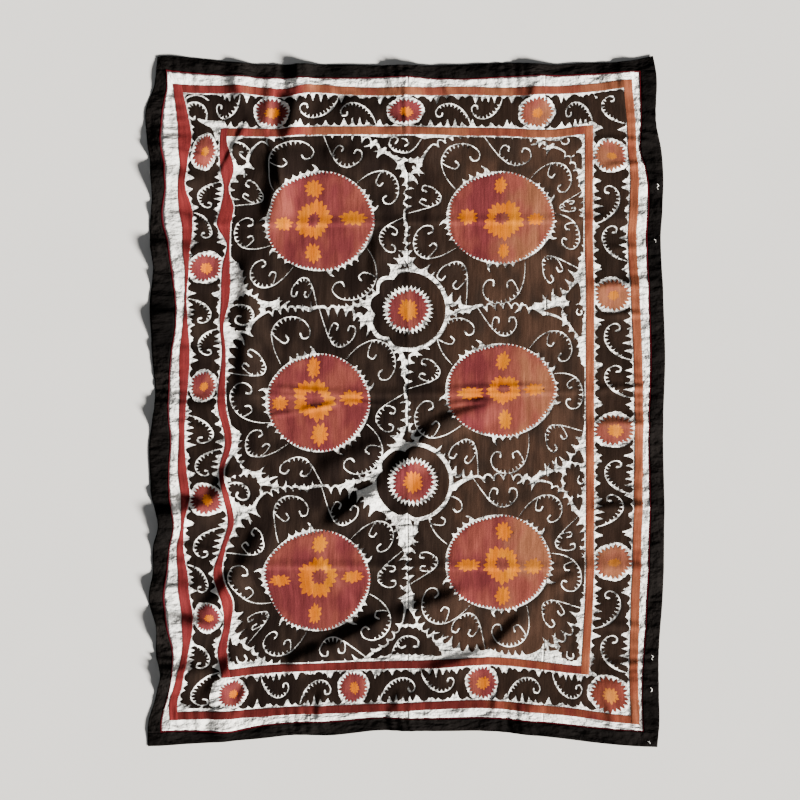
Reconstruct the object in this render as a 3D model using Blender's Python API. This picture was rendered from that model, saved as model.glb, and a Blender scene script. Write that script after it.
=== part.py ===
"""Embroidered suzani cloth, laid out flat on a floor, a little rippled.

Four loom widths of cream cotton are sewn side by side into the ground cloth.
A black cotton border is sewn round it in four strips, with a thin red piping
let into each of the four seams between the ground and the border.

Every piece starts as a flat grid in the cloth's own plan, across and along,
as it was cut. One function then moves each point to where the laid cloth has
it: the edges wander, and soft folds lift it off the floor.
Units are metres, +Z is up, +Y is the cloth's length and +X its width.
"""

import bmesh
import bpy
import numpy as np

MM = 0.001

# Plan of the cloth as cut, measured from its middle.
HALF_WIDTH = 0.925
HALF_LENGTH = 1.225
BORDER = 0.055
PIPING = 0.004
SEAM_GAP = 0.0005

# Thickness of each cloth.
GROUND_THICK = 0.0016
BORDER_THICK = 0.0018
PIPING_THICK = 0.0028

# Seams between the four loom widths, and how many grid cells each width has.
SEAMS_ACROSS = (-0.355, 0.0, 0.500)
PANEL_CELLS = (13, 8, 11, 9)
ROWS_ALONG = 52

# Lines across the cloth that wander together: outer edge, seam of the border,
# outer and inner side of the outer stripe, both sides of the inner stripe,
# and the place in the field where the cloth lies square again.
SIDE_LINES = (0.925, 0.870, 0.832, 0.801, 0.675, 0.646, 0.300)
END_LINES = (1.225, 1.170, 1.1325, 1.1035, 0.977, 0.948, 0.500)

# Left side. Each row: place along the cloth in mm, then how far each of the
# side lines is pushed to the right there, in mm.
LEFT_WANDER = (
    # along, edge, seam, outer stripe, its far side, inner stripe, its far side
    (1240, 22, -18, -20, -18, 8, 8),
    (1130, 10, 0, -16, -15, 7, 7),
    (1045, -21, -18, -5, 3, 8, 8),
    (935, -16, -25, 5, 21, -3, -7),
    (825, -3, -11, 9, 3, 0, 18),
    (760, 0, -7, 5, 1, 11, 0),
    (690, -1, -20, 5, 21, 0, 18),
    (630, -7, -18, 16, 25, -14, 7),
    (555, -3, 4, 20, 18, 22, 4),
    (485, 6, 13, 27, 14, 7, 4),
    (345, -7, 29, 25, 3, 0, 0),
    (275, -3, 33, 23, 9, -4, -18),
    (175, 0, 16, 9, 14, 4, -11),
    (-20, 12, 4, 9, 3, -11, -11),
    (-165, -10, 11, 5, -4, 15, 11),
    (-265, -7, 4, 2, 3, -7, -18),
    (-360, 0, 7, 13, 14, 11, 4),
    (-455, 26, 25, 16, -4, 25, 18),
    (-540, 4, 7, -2, -8, 0, -11),
    (-630, 3, -4, 2, 7, -27, -23),
    (-720, -10, -14, 9, 18, 4, 15),
    (-800, 19, 0, 20, 28, 11, 7),
    (-890, 15, 18, 16, 9, -11, -7),
    (-975, 33, 18, -2, -6, 4, 7),
    (-1055, 12, 0, 2, 0, 7, 7),
    (-1135, -12, -22, -27, -29, 4, 4),
    (-1240, -14, -14, -20, -20, 0, 0),
)

# Right side, in the same columns.
RIGHT_WANDER = (
    (1240, -40, -29, -22, -22, -7, -7),
    (1150, -25, -29, -22, -22, -6, -6),
    (980, -25, -25, -7, -7, -4, -4),
    (890, -7, -29, -4, -4, -4, -4),
    (805, 0, -4, 4, 4, -4, -4),
    (575, -9, -4, -4, -4, -4, -4),
    (370, 0, 4, 7, 7, 0, 0),
    (140, 7, 11, 17, 17, 0, 0),
    (-80, 0, 4, 20, 20, 0, 0),
    (-440, 4, 7, 16, 16, 0, 0),
    (-730, -4, -4, 7, 7, -4, -4),
    (-845, -14, -11, 4, 4, -11, -11),
    (-975, -18, -22, 0, 0, -18, -18),
    (-1105, -14, -20, 7, 7, -18, -18),
    (-1240, -22, -14, 4, 4, -14, -14),
)

# Top end. Each row: place across the cloth in mm, then how far each of the
# end lines is pushed up the cloth there, in mm.
TOP_WANDER = (
    # across, edge, seam, outer stripe, its far side, inner stripe, its far side
    (-925, 11, 20, 5, 5, 2, 2),
    (-850, 14, 18, 5, 5, 2, 2),
    (-750, 5, 7, 0, 0, 0, 0),
    (-605, -13, -4, -2, -2, 0, 0),
    (-425, -18, -11, -11, -11, -1, -1),
    (-370, -18, -11, 0, 0, 4, 4),
    (-225, -18, -10, -5, -5, 7, 7),
    (-30, -22, -7, -10, -10, 5, 5),
    (190, -18, -14, -5, -5, 3, 3),
    (370, -11, -4, -9, -9, 0, 0),
    (515, -18, -2, -5, -5, -5, -5),
    (660, -11, 4, 4, 4, 10, 10),
    (805, -7, 11, 18, 18, 10, 10),
    (925, 14, 18, 22, 22, 10, 10),
)

# Bottom end, in the same columns.
BOTTOM_WANDER = (
    (-925, -33, -40, -33, -33, -33, -33),
    (-785, -25, -33, -29, -29, -33, -33),
    (-640, -14, -36, -25, -25, -29, -29),
    (-525, -4, -14, -18, -18, -18, -18),
    (-425, 7, -4, -11, -11, -11, -11),
    (-280, 7, 0, -7, -7, -7, -7),
    (-100, 25, 15, 0, 0, -2, -2),
    (80, 22, 11, 7, 7, 2, 2),
    (300, 22, 14, 12, 12, 14, 14),
    (480, 5, 0, -4, -4, -2, -2),
    (625, -11, -14, -18, -18, -18, -18),
    (770, -29, -29, -40, -40, -29, -29),
    (925, -36, -36, -54, -54, -36, -36),
)

# Main folds, in mm. Each row is one soft ridge: where its crest starts and
# ends, its height, and how far it reaches down on its left and on its right,
# seen from the start towards the end.
FOLDS = (
    # from x, from y, to x, to y, height, left reach, right reach
    (-380, 1290, -395, 1085, 24, 80, 55),
    (-395, 1130, -425, 900, 24, 75, 60),
    (-425, 960, -505, 575, 20, 90, 65),
    (-260, 1085, -70, 995, 14, 60, 75),
    (-120, 1025, 185, 890, 14, 60, 75),
    (-330, 905, -90, 835, 12, 50, 70),
    (-105, 620, -105, 360, 10, 70, 50),
    (-575, 560, -570, 220, 16, 75, 55),
    (-570, 300, -590, -40, 15, 75, 55),
    (-450, -975, -280, -895, 16, 48, 80),
    (-330, -925, -25, -775, 21, 50, 85),
    (-80, -805, 245, -695, 16, 50, 80),
    (-320, -490, -45, -290, 20, 50, 80),
    (-85, -320, 130, -75, 18, 50, 80),
    (60, -115, 360, -5, 14, 45, 75),
    (-380, -290, 10, -130, 11, 60, 60),
    (40, -1005, 335, -905, 15, 45, 70),
    (300, -925, 440, -770, 13, 45, 70),
    (-740, -1110, -600, -920, 16, 55, 75),
    (-760, -800, -580, -610, 18, 55, 75),
    (-600, -650, -510, -460, 15, 60, 70),
    (-1000, -455, -660, -385, 26, 62, 105),
    (-705, -400, -610, -230, 16, 55, 70),
    (-1000, -820, -690, -840, 24, 65, 85),
    (-1000, -25, -600, -40, 16, 60, 110),
    (-1000, 965, -640, 865, 18, 60, 80),
    (-1000, 835, -720, 755, 24, 58, 95),
    (-1000, 560, -690, 500, 26, 62, 115),
    (-1000, 305, -700, 260, 20, 60, 100),
    (-1000, -665, -700, -705, 18, 50, 70),
    (-1000, -985, -700, -1010, 22, 55, 80),
    (-605, 1290, -615, 1020, 14, 60, 70),
    (-20, 1290, 5, 1020, 18, 100, 120),
    (460, 1290, 480, 1020, 15, 90, 110),
    (800, 1290, 775, 1060, 10, 50, 70),
    (-670, -1290, -655, -1060, 12, 70, 60),
    (-20, -1290, 10, -1040, 12, 90, 70),
    (415, -1290, 445, -1060, 10, 80, 70),
    (640, 650, 990, 655, 10, 75, 55),
    (600, 400, 990, 410, 9, 50, 75),
    (620, -95, 990, -90, 8, 50, 60),
    (640, -390, 990, -400, 9, 60, 80),
    (560, -610, 990, -620, 9, 60, 75),
    (650, -1020, 990, -1040, 10, 110, 65),
)
FOLD_FADE = 0.30


def table(rows):
    """Sort a wander table by its first column and return places and pushes in metres."""
    rows = np.array(sorted(rows), dtype=float) * MM
    return rows[:, 0], rows[:, 1:]


def smooth(at, places, values):
    """Curve through a table's rows: cubic between rows, with the rows' own slopes."""
    at = np.clip(at, places[0], places[-1])
    slopes = np.gradient(values, places, axis=0)
    row = np.clip(np.searchsorted(places, at) - 1, 0, len(places) - 2)
    gap = (places[row + 1] - places[row])[:, None]
    t = (at[:, None] - places[row][:, None]) / gap
    return ((2 * t**3 - 3 * t**2 + 1) * values[row] + (t**3 - 2 * t**2 + t) * gap * slopes[row]
            + (3 * t**2 - 2 * t**3) * values[row + 1] + (t**3 - t**2) * gap * slopes[row + 1])


def wander(out, along, lines, rows):
    """Push of points at distance `out` from the middle, shared out between the lines."""
    places, values = table(rows)
    values = np.hstack([values, np.zeros((len(values), 1))])
    pushes = smooth(along, places, values)
    lines = np.array(lines)[::-1]
    pushes = pushes[:, ::-1]
    share = np.array([np.interp(out, lines, unit) for unit in np.eye(len(lines))]).T
    return (share * pushes).sum(axis=1)


def fold_height(x, y):
    """Height of the folds: each crest's height, times a cosine slope to either
    side of it, times a soft fade towards both of its ends."""
    total = np.zeros_like(x)
    for from_x, from_y, to_x, to_y, height, left, right in FOLDS:
        run = np.array([to_x - from_x, to_y - from_y]) * MM
        length = np.hypot(*run)
        ahead = ((x - from_x * MM) * run[0] + (y - from_y * MM) * run[1]) / length**2
        aside = (run[0] * (y - from_y * MM) - run[1] * (x - from_x * MM)) / length
        reach = np.where(aside > 0, left, right) * MM
        slope = np.cos(0.5 * np.pi * np.clip(np.abs(aside) / reach, 0, 1)) ** 2
        end = np.clip(np.minimum(ahead, 1 - ahead) / FOLD_FADE, 0, 1)
        total += height * MM * slope * end * end * (3 - 2 * end)
    return total


def laid(across, along):
    """Place of the cloth's plan point on the floor: wander of the sides and
    ends first, then the height of the folds there."""
    left = wander(-across, along, SIDE_LINES, LEFT_WANDER) * (across < 0)
    right = wander(across, along, SIDE_LINES, RIGHT_WANDER) * (across >= 0)
    top = wander(along, across, END_LINES, TOP_WANDER) * (along >= 0)
    bottom = wander(-along, across, END_LINES, BOTTOM_WANDER) * (along < 0)
    x = across + left + right
    y = along + top + bottom
    return x, y, fold_height(x, y)


def outline_middle():
    """Middle of the laid cloth's box, from points all round its edge."""
    steps = np.linspace(-1, 1, 401)
    ones = np.ones_like(steps)
    across = np.concatenate([steps, steps, -ones, ones]) * HALF_WIDTH
    along = np.concatenate([-ones, ones, steps, steps]) * HALF_LENGTH
    x, y, _ = laid(across, along)
    return (x.min() + x.max()) / 2, (y.min() + y.max()) / 2


def paint(name, colour, roughness):
    """Plain cloth material."""
    material = bpy.data.materials.new(name)
    material.use_nodes = True
    shader = material.node_tree.nodes["Principled BSDF"]
    shader.inputs["Base Color"].default_value = (*colour, 1.0)
    shader.inputs["Roughness"].default_value = roughness
    shader.inputs["Metallic"].default_value = 0.0
    material.diffuse_color = (*colour, 1.0)
    return material


def cloth_piece(name, across, along, thick, material, collection):
    """One piece of cloth: a grid over its plan lines, laid, and given its thickness."""
    columns = len(across)
    rows = len(along)
    bm = bmesh.new()
    bmesh.ops.create_grid(bm, x_segments=columns - 1, y_segments=rows - 1, size=0.5)
    corner = np.array([vertex.co[:2] for vertex in bm.verts]) + 0.5
    column = np.rint(corner[:, 0] * (columns - 1)).astype(int)
    row = np.rint(corner[:, 1] * (rows - 1)).astype(int)
    x, y, z = laid(np.asarray(across)[column], np.asarray(along)[row])
    for vertex, place in zip(bm.verts, zip(x - MIDDLE[0], y - MIDDLE[1], z)):
        vertex.co = place
    top = bmesh.ops.extrude_face_region(bm, geom=bm.faces[:])
    lifted = [item for item in top["geom"] if isinstance(item, bmesh.types.BMVert)]
    bmesh.ops.translate(bm, verts=lifted, vec=(0.0, 0.0, thick))
    bmesh.ops.recalc_face_normals(bm, faces=bm.faces[:])
    mesh = bpy.data.meshes.new(name)
    bm.to_mesh(mesh)
    bm.free()
    mesh.materials.append(material)
    piece = bpy.data.objects.new(name, mesh)
    collection.objects.link(piece)
    return piece


def clear_scene():
    """Remove whatever the scene starts with."""
    for item in list(bpy.data.objects):
        bpy.data.objects.remove(item, do_unlink=True)


def column_lines():
    """Plan lines across the ground cloth: the four widths' own cells."""
    ground = HALF_WIDTH - BORDER - PIPING
    ends = (-ground, *SEAMS_ACROSS, ground)
    return [np.linspace(a, b, cells + 1) for a, b, cells in zip(ends, ends[1:], PANEL_CELLS)]


def build():
    """Make every piece of the cloth."""
    clear_scene()
    collection = bpy.data.collections.new("suzani_cloth")
    bpy.context.scene.collection.children.link(collection)
    cream = paint("cream_cotton", (0.80, 0.77, 0.70), 0.85)
    black = paint("black_cotton", (0.022, 0.018, 0.016), 0.80)
    red = paint("red_piping", (0.36, 0.03, 0.035), 0.70)

    ground_across = HALF_WIDTH - BORDER - PIPING
    ground_along = HALF_LENGTH - BORDER - PIPING
    seam_across = ground_across + PIPING
    seam_along = ground_along + PIPING
    widths = column_lines()
    rows = np.linspace(-ground_along, ground_along, ROWS_ALONG + 1)
    half_gap = SEAM_GAP / 2

    names = ("panel_left", "panel_mid_left", "panel_mid_right", "panel_right")
    for name, lines in zip(names, widths):
        lines = lines.copy()
        lines[0] += half_gap
        lines[-1] -= half_gap
        inner = rows.copy()
        inner[0] += half_gap
        inner[-1] -= half_gap
        cloth_piece(name, lines, inner, GROUND_THICK, cream, collection)

    columns = np.unique(np.concatenate(widths))
    for side, sign in (("left", -1), ("right", 1)):
        inner = rows.copy()
        inner[0] += half_gap
        inner[-1] -= half_gap
        cord = sign * np.array([ground_across + half_gap, seam_across - half_gap])
        cloth_piece("piping_" + side, np.sort(cord), inner, PIPING_THICK, red, collection)
        strip = sign * np.array([seam_across + half_gap, HALF_WIDTH])
        long_rows = np.concatenate([[-seam_along + half_gap], rows, [seam_along - half_gap]])
        cloth_piece("border_" + side, np.sort(strip), long_rows, BORDER_THICK, black, collection)
    for end, sign in (("bottom", -1), ("top", 1)):
        cord_columns = np.concatenate([[-seam_across + half_gap], columns, [seam_across - half_gap]])
        cord = sign * np.array([ground_along + half_gap, seam_along - half_gap])
        cloth_piece("piping_" + end, cord_columns, np.sort(cord), PIPING_THICK, red, collection)
        strip_columns = np.concatenate([[-HALF_WIDTH, -seam_across], columns, [seam_across, HALF_WIDTH]])
        strip = sign * np.array([seam_along + half_gap, HALF_LENGTH])
        cloth_piece("border_" + end, strip_columns, np.sort(strip), BORDER_THICK, black, collection)


MIDDLE = outline_middle()
build()
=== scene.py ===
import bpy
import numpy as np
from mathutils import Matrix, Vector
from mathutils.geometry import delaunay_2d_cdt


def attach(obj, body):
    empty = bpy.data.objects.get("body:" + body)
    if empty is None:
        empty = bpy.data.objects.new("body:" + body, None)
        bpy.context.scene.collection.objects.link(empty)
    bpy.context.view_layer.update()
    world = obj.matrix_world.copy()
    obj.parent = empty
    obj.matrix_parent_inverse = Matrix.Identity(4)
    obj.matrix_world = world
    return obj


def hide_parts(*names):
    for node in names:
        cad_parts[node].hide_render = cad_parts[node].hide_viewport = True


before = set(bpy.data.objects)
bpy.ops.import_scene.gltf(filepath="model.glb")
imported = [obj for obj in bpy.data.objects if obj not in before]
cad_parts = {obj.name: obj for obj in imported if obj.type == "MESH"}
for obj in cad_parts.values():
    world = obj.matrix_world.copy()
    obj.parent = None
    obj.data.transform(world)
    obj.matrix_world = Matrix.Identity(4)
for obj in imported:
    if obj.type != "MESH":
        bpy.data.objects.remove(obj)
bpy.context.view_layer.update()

# %% [markdown]
# # An embroidered suzani, laid on a floor
# The real object is a large wedding hanging: four narrow loom widths of cream
# cotton sewn together, six medallions worked on them in silk, bands of scrolls
# round the edge, and a black cotton border let on with a thin red piping.
# The frame holds it as twelve plain strips of cloth. This script keeps their
# place and gives them their weave, their small creases and all their stitching.

MM = 0.001

# %% [markdown]
# ## The plan of the cloth, and how it lies
# A hanging like this is cut square and lies anything but square: its edges
# wander where the cloth was pulled, and soft folds run in from them. A cloth
# simulation would lose the places of those folds. So the cloth is drawn flat,
# in its own plan across and along, and one function moves every point of that
# plan to the floor. Cloth, stitches and piping all go through it, which keeps
# each stitch on its thread of the cloth.

# %% Plan sizes
HALF_WIDTH = 0.925
HALF_LENGTH = 1.225
BORDER = 0.055
PIPING = 0.004
GROUND_THICK = 0.0016
BORDER_THICK = 0.0018
SEAMS_ACROSS = (-0.355, 0.0, 0.500)
SIDE_LINES = (0.925, 0.870, 0.832, 0.801, 0.675, 0.646, 0.300)
END_LINES = (1.225, 1.170, 1.1325, 1.1035, 0.977, 0.948, 0.500)

# Left side. Each row: place along the cloth in mm, then how far each of the
# side lines is pushed to the right there, in mm.
LEFT_WANDER = (
    # along, edge, seam, outer stripe, its far side, inner stripe, its far side
    (1240, 22, -18, -20, -18, 8, 8),
    (1130, 10, 0, -16, -15, 7, 7),
    (1045, -21, -18, -5, 3, 8, 8),
    (935, -16, -25, 5, 21, -3, -7),
    (825, -3, -11, 9, 3, 0, 18),
    (760, 0, -7, 5, 1, 11, 0),
    (690, -1, -20, 5, 21, 0, 18),
    (630, -7, -18, 16, 25, -14, 7),
    (555, -3, 4, 20, 18, 22, 4),
    (485, 6, 13, 27, 14, 7, 4),
    (345, -7, 29, 25, 3, 0, 0),
    (275, -3, 33, 23, 9, -4, -18),
    (175, 0, 16, 9, 14, 4, -11),
    (-20, 12, 4, 9, 3, -11, -11),
    (-165, -10, 11, 5, -4, 15, 11),
    (-265, -7, 4, 2, 3, -7, -18),
    (-360, 0, 7, 13, 14, 11, 4),
    (-455, 26, 25, 16, -4, 25, 18),
    (-540, 4, 7, -2, -8, 0, -11),
    (-630, 3, -4, 2, 7, -27, -23),
    (-720, -10, -14, 9, 18, 4, 15),
    (-800, 19, 0, 20, 28, 11, 7),
    (-890, 15, 18, 16, 9, -11, -7),
    (-975, 33, 18, -2, -6, 4, 7),
    (-1010, 23, 11, -11, -13, 6, 7),
    (-1055, 12, 0, -27, -28, 7, 7),
    (-1135, -12, -22, -27, -29, 4, 4),
    (-1240, -14, -14, -20, -20, 0, 0),
)

# Right side, in the same columns.
RIGHT_WANDER = (
    (1240, -40, -29, -22, -22, -7, -7),
    (1150, -25, -29, -22, -22, -6, -6),
    (980, -25, -25, -7, -7, -4, -4),
    (890, -7, -29, -4, -4, -4, -4),
    (805, 0, -4, 4, 4, -4, -4),
    (575, -9, -4, -4, -4, -4, -4),
    (370, 0, 4, 7, 7, 0, 0),
    (140, 7, 11, 17, 17, 0, 0),
    (-80, 0, 4, 20, 20, 0, 0),
    (-440, 4, 7, 16, 16, 0, 0),
    (-730, -4, -4, 7, 7, -4, -4),
    (-845, -14, -11, 4, 4, -11, -11),
    (-975, -18, -22, 0, 0, -18, -18),
    (-1105, -14, -20, 7, 7, -18, -18),
    (-1240, -22, -14, 4, 4, -14, -14),
)

# Top end. Each row: place across the cloth in mm, then how far each of the
# end lines is pushed up the cloth there, in mm.
TOP_WANDER = (
    # across, edge, seam, outer stripe, its far side, inner stripe, its far side
    (-925, 11, 20, 5, 5, 2, 2),
    (-850, 14, 18, 5, 5, 2, 2),
    (-750, 5, 7, 0, 0, 0, 0),
    (-605, -13, -4, -2, -2, 0, 0),
    (-425, -18, -11, -11, -11, -1, -1),
    (-370, -18, -11, 0, 0, 4, 4),
    (-225, -18, -10, -5, -5, 7, 7),
    (-30, -22, -7, -10, -10, 5, 5),
    (190, -18, -14, -5, -5, 3, 3),
    (370, -11, -4, -9, -9, 0, 0),
    (515, -18, -2, -5, -5, -5, -5),
    (660, -11, 4, 4, 4, 10, 10),
    (805, -7, 11, 18, 18, 10, 10),
    (925, 14, 18, 22, 22, 10, 10),
)

# Bottom end, in the same columns.
BOTTOM_WANDER = (
    (-925, -33, -40, -33, -33, -33, -33),
    (-785, -25, -33, -29, -29, -33, -33),
    (-640, -14, -36, -25, -25, -29, -29),
    (-525, -4, -14, -18, -18, -18, -18),
    (-425, 7, -4, -11, -11, -11, -11),
    (-280, 7, 0, -7, -7, -7, -7),
    (-100, 25, 15, 0, 0, -2, -2),
    (80, 22, 11, 7, 7, 2, 2),
    (300, 22, 14, 12, 12, 14, 14),
    (480, 5, 0, -4, -4, -2, -2),
    (625, -11, -14, -18, -18, -18, -18),
    (770, -29, -29, -40, -40, -29, -29),
    (925, -36, -36, -54, -54, -36, -36),
)

# Main folds, in mm. Each row is one soft ridge: where its crest starts and
# ends, its height, and how far it reaches down on its left and on its right,
# seen from the start towards the end.
FOLDS = (
    # from x, from y, to x, to y, height, left reach, right reach
    (-380, 1290, -395, 1085, 24, 80, 55),
    (-395, 1130, -425, 900, 24, 75, 60),
    (-425, 960, -505, 575, 20, 90, 65),
    (-260, 1085, -70, 995, 14, 60, 75),
    (-120, 1025, 185, 890, 14, 60, 75),
    (-330, 905, -90, 835, 12, 50, 70),
    (-105, 620, -105, 360, 10, 70, 50),
    (-575, 560, -570, 220, 16, 75, 55),
    (-570, 300, -590, -40, 15, 75, 55),
    (-450, -975, -280, -895, 16, 48, 80),
    (-330, -925, -25, -775, 21, 50, 85),
    (-80, -805, 245, -695, 16, 50, 80),
    (-320, -490, -45, -290, 20, 50, 80),
    (-85, -320, 130, -75, 18, 50, 80),
    (60, -115, 360, -5, 14, 45, 75),
    (-380, -290, 10, -130, 11, 60, 60),
    (40, -1005, 335, -905, 15, 45, 70),
    (300, -925, 440, -770, 13, 45, 70),
    (-740, -1110, -600, -920, 16, 55, 75),
    (-760, -800, -580, -610, 18, 55, 75),
    (-600, -650, -510, -460, 15, 60, 70),
    (-1000, -455, -660, -385, 26, 62, 105),
    (-705, -400, -610, -230, 16, 55, 70),
    (-1000, -820, -690, -840, 24, 65, 85),
    (-1000, -25, -600, -40, 16, 60, 110),
    (-1000, 965, -640, 865, 18, 60, 80),
    (-1000, 835, -720, 755, 24, 58, 95),
    (-1000, 560, -690, 500, 26, 62, 115),
    (-1000, 305, -700, 260, 20, 60, 100),
    (-1000, -665, -700, -705, 18, 50, 70),
    (-1000, -985, -700, -1010, 22, 55, 80),
    (-605, 1290, -615, 1020, 14, 60, 70),
    (-20, 1290, 5, 1020, 18, 100, 120),
    (460, 1290, 480, 1020, 15, 90, 110),
    (800, 1290, 775, 1060, 10, 50, 70),
    (-670, -1290, -655, -1060, 12, 70, 60),
    (-20, -1290, 10, -1040, 12, 90, 70),
    (415, -1290, 445, -1060, 10, 80, 70),
    (640, 650, 990, 655, 10, 75, 55),
    (600, 400, 990, 410, 9, 50, 75),
    (620, -95, 990, -90, 8, 50, 60),
    (640, -390, 990, -400, 9, 60, 80),
    (560, -610, 990, -620, 9, 60, 75),
    (650, -1020, 990, -1040, 10, 110, 65),
)
FOLD_FADE = 0.30
print("Plan", 2 * HALF_WIDTH, "by", 2 * HALF_LENGTH, "m,", len(FOLDS), "main folds")

# %% [markdown]
# ## Small creases
# Folded away for years, the cloth keeps three storage creases across it and
# one down the middle, and the right side has small crests where it was pulled
# straight. They are too small for the frame, so they are added here in the same
# way: one row for each crest, in millimetres.

# %% Small creases
CREASES = (
    # from x, from y, to x, to y, height, left reach, right reach
    (-990, 622, 990, 648, 4.5, 34, 12),
    (-990, 4, 990, 26, 4.5, 34, 12),
    (-990, -604, 990, -618, 4.0, 34, 12),
    (-10, 1225, -4, 880, 4.5, 20, 14),
    (0, 900, 4, -1000, 2.0, 16, 12),
    (-520, 42, -240, 20, 4.5, 20, 13),
    (-505, -64, -390, -50, 4.0, 16, 12),
    (-405, -48, -240, -20, 6.5, 22, 13),
    (140, -24, 300, -6, 5.5, 20, 13),
    (110, 34, 560, 46, 4.5, 22, 10),
    (-235, -8, -60, -30, 5.0, 16, 10),
    (-470, 1230, -520, 930, 9.0, 20, 44),
    (-520, 990, -430, 700, 7.0, 44, 20),
    (-560, 1040, -700, 760, 7.0, 40, 20),
    (-1010, 925, -640, 850, 9.0, 22, 44),
    (-1010, 720, -650, 610, 8.0, 22, 44),
    (-1010, 460, -640, 395, 9.0, 22, 44),
    (-1010, 210, -640, 150, 7.0, 22, 40),
    (-1010, -40, -650, -130, 9.0, 22, 44),
    (-1010, -310, -640, -420, 8.0, 22, 44),
    (-1010, -500, -650, -560, 7.0, 20, 36),
    (-1010, -750, -600, -850, 9.0, 22, 44),
    (-1010, -910, -640, -1010, 8.0, 22, 40),
    (-360, -560, -180, -760, 5.0, 24, 44),
    (-560, -160, -330, -230, 4.0, 30, 40),
    (500, -700, 640, -620, 4.0, 30, 40),
    (660, 935, 925, 930, 6.0, 26, 18),
    (690, 838, 925, 846, 7.0, 24, 18),
    (700, 540, 925, 545, 6.0, 28, 20),
    (670, 402, 925, 410, 5.0, 26, 18),
    (680, 300, 925, 306, 7.0, 26, 18),
    (660, 34, 925, 44, 6.0, 26, 18),
    (680, -90, 925, -96, 6.0, 24, 18),
    (640, -398, 925, -392, 6.0, 26, 20),
    (650, -820, 925, -828, 6.0, 28, 20),
    (680, -960, 925, -970, 5.0, 24, 18),
    (-905, 1160, -700, 1150, 5.0, 30, 22),
    (-640, 1185, -560, 1010, 6.0, 22, 30),
    (-300, 1200, -260, 1040, 4.0, 22, 30),
    (120, 1190, 170, 1040, 5.0, 30, 22),
    (480, 1190, 440, 1060, 4.0, 30, 22),
    (300, -1190, 330, -1040, 5.0, 26, 26),
    (-330, -1190, -300, -1040, 6.0, 28, 24),
    (-640, -1190, -560, -1000, 6.0, 28, 24),
    (-60, -1190, -20, -1040, 4.0, 28, 24),
    (760, -1190, 700, -1040, 4.0, 26, 26),
)


def table(rows):
    """Sort a wander table by its first column and return places and pushes in metres."""
    rows = np.array(sorted(rows), dtype=float) * MM
    return rows[:, 0], rows[:, 1:]


def smooth(at, places, values):
    """Curve through rows of values: cubic between rows, with the rows' own slopes."""
    at = np.clip(at, places[0], places[-1])
    slopes = np.gradient(values, places, axis=0)
    row = np.clip(np.searchsorted(places, at) - 1, 0, len(places) - 2)
    gap = (places[row + 1] - places[row])[:, None]
    t = (at[:, None] - places[row][:, None]) / gap
    return ((2 * t**3 - 3 * t**2 + 1) * values[row] + (t**3 - 2 * t**2 + t) * gap * slopes[row]
            + (3 * t**2 - 2 * t**3) * values[row + 1] + (t**3 - t**2) * gap * slopes[row + 1])


def wander(out, along, lines, rows):
    """Push of points at distance `out` from the middle, shared out between the lines."""
    places, values = table(rows)
    values = np.hstack([values, np.zeros((len(values), 1))])
    pushes = smooth(along, places, values)
    lines = np.array(lines)[::-1]
    pushes = pushes[:, ::-1]
    share = np.array([np.interp(out, lines, unit) for unit in np.eye(len(lines))]).T
    return (share * pushes).sum(axis=1)


def crest_height(x, y, rows):
    """Height of soft ridges: each crest's height, times a cosine slope to either
    side of it, times a soft fade towards both of its ends."""
    total = np.zeros_like(x)
    for from_x, from_y, to_x, to_y, height, left, right in rows:
        run = np.array([to_x - from_x, to_y - from_y]) * MM
        length = np.hypot(*run)
        ahead = ((x - from_x * MM) * run[0] + (y - from_y * MM) * run[1]) / length**2
        aside = (run[0] * (y - from_y * MM) - run[1] * (x - from_x * MM)) / length
        reach = np.where(aside > 0, left, right) * MM
        slope = np.cos(0.5 * np.pi * np.clip(np.abs(aside) / reach, 0, 1)) ** 2
        end = np.clip(np.minimum(ahead, 1 - ahead) / FOLD_FADE, 0, 1)
        total += height * MM * slope * end * end * (3 - 2 * end)
    return total


def unevenness(x, y):
    """Cloth that is never quite flat: three long waves of about a millimetre,
    crossing each other, and short puckers across the bare bands near the edges,
    where the border was sewn on tighter than the cloth. All kept above the floor."""
    waves = (np.sin(23 * x + 7 * np.sin(5 * y)) + np.sin(31 * y - 9 * np.sin(4 * x) + 1.3)
             + np.sin(41 * x + 37 * y + 2.1))
    at_side = np.clip((np.abs(x) - 0.79) / 0.05, 0, 1) * np.clip((0.93 - np.abs(x)) / 0.03, 0, 1)
    at_end = np.clip((np.abs(y) - 1.10) / 0.04, 0, 1) * np.clip((1.23 - np.abs(y)) / 0.03, 0, 1)
    along = np.sin(125 * y + 5 * np.sin(13 * y) + 16 * x) * (0.6 + 0.4 * np.sin(19 * y + 1.0))
    across = np.sin(112 * x + 5 * np.sin(15 * x) + 22 * y) * (0.6 + 0.4 * np.sin(17 * x + 2.0))
    return MM * (0.45 * (waves + 3.0) + 2.5 * at_side * (1 + along) + 1.8 * at_end * (1 + across))


def laid(across, along):
    """Where a point of the plan lies: its place with the wander of the edges,
    and the height of the folds, creases and unevenness there."""
    left = wander(-across, along, SIDE_LINES, LEFT_WANDER) * (across < 0)
    right = wander(across, along, SIDE_LINES, RIGHT_WANDER) * (across >= 0)
    top = wander(along, across, END_LINES, TOP_WANDER) * (along >= 0)
    bottom = wander(-along, across, END_LINES, BOTTOM_WANDER) * (along < 0)
    x = across + left + right
    y = along + top + bottom
    return x, y, crest_height(x, y, FOLDS) + crest_height(x, y, CREASES) + unevenness(x, y)


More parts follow.
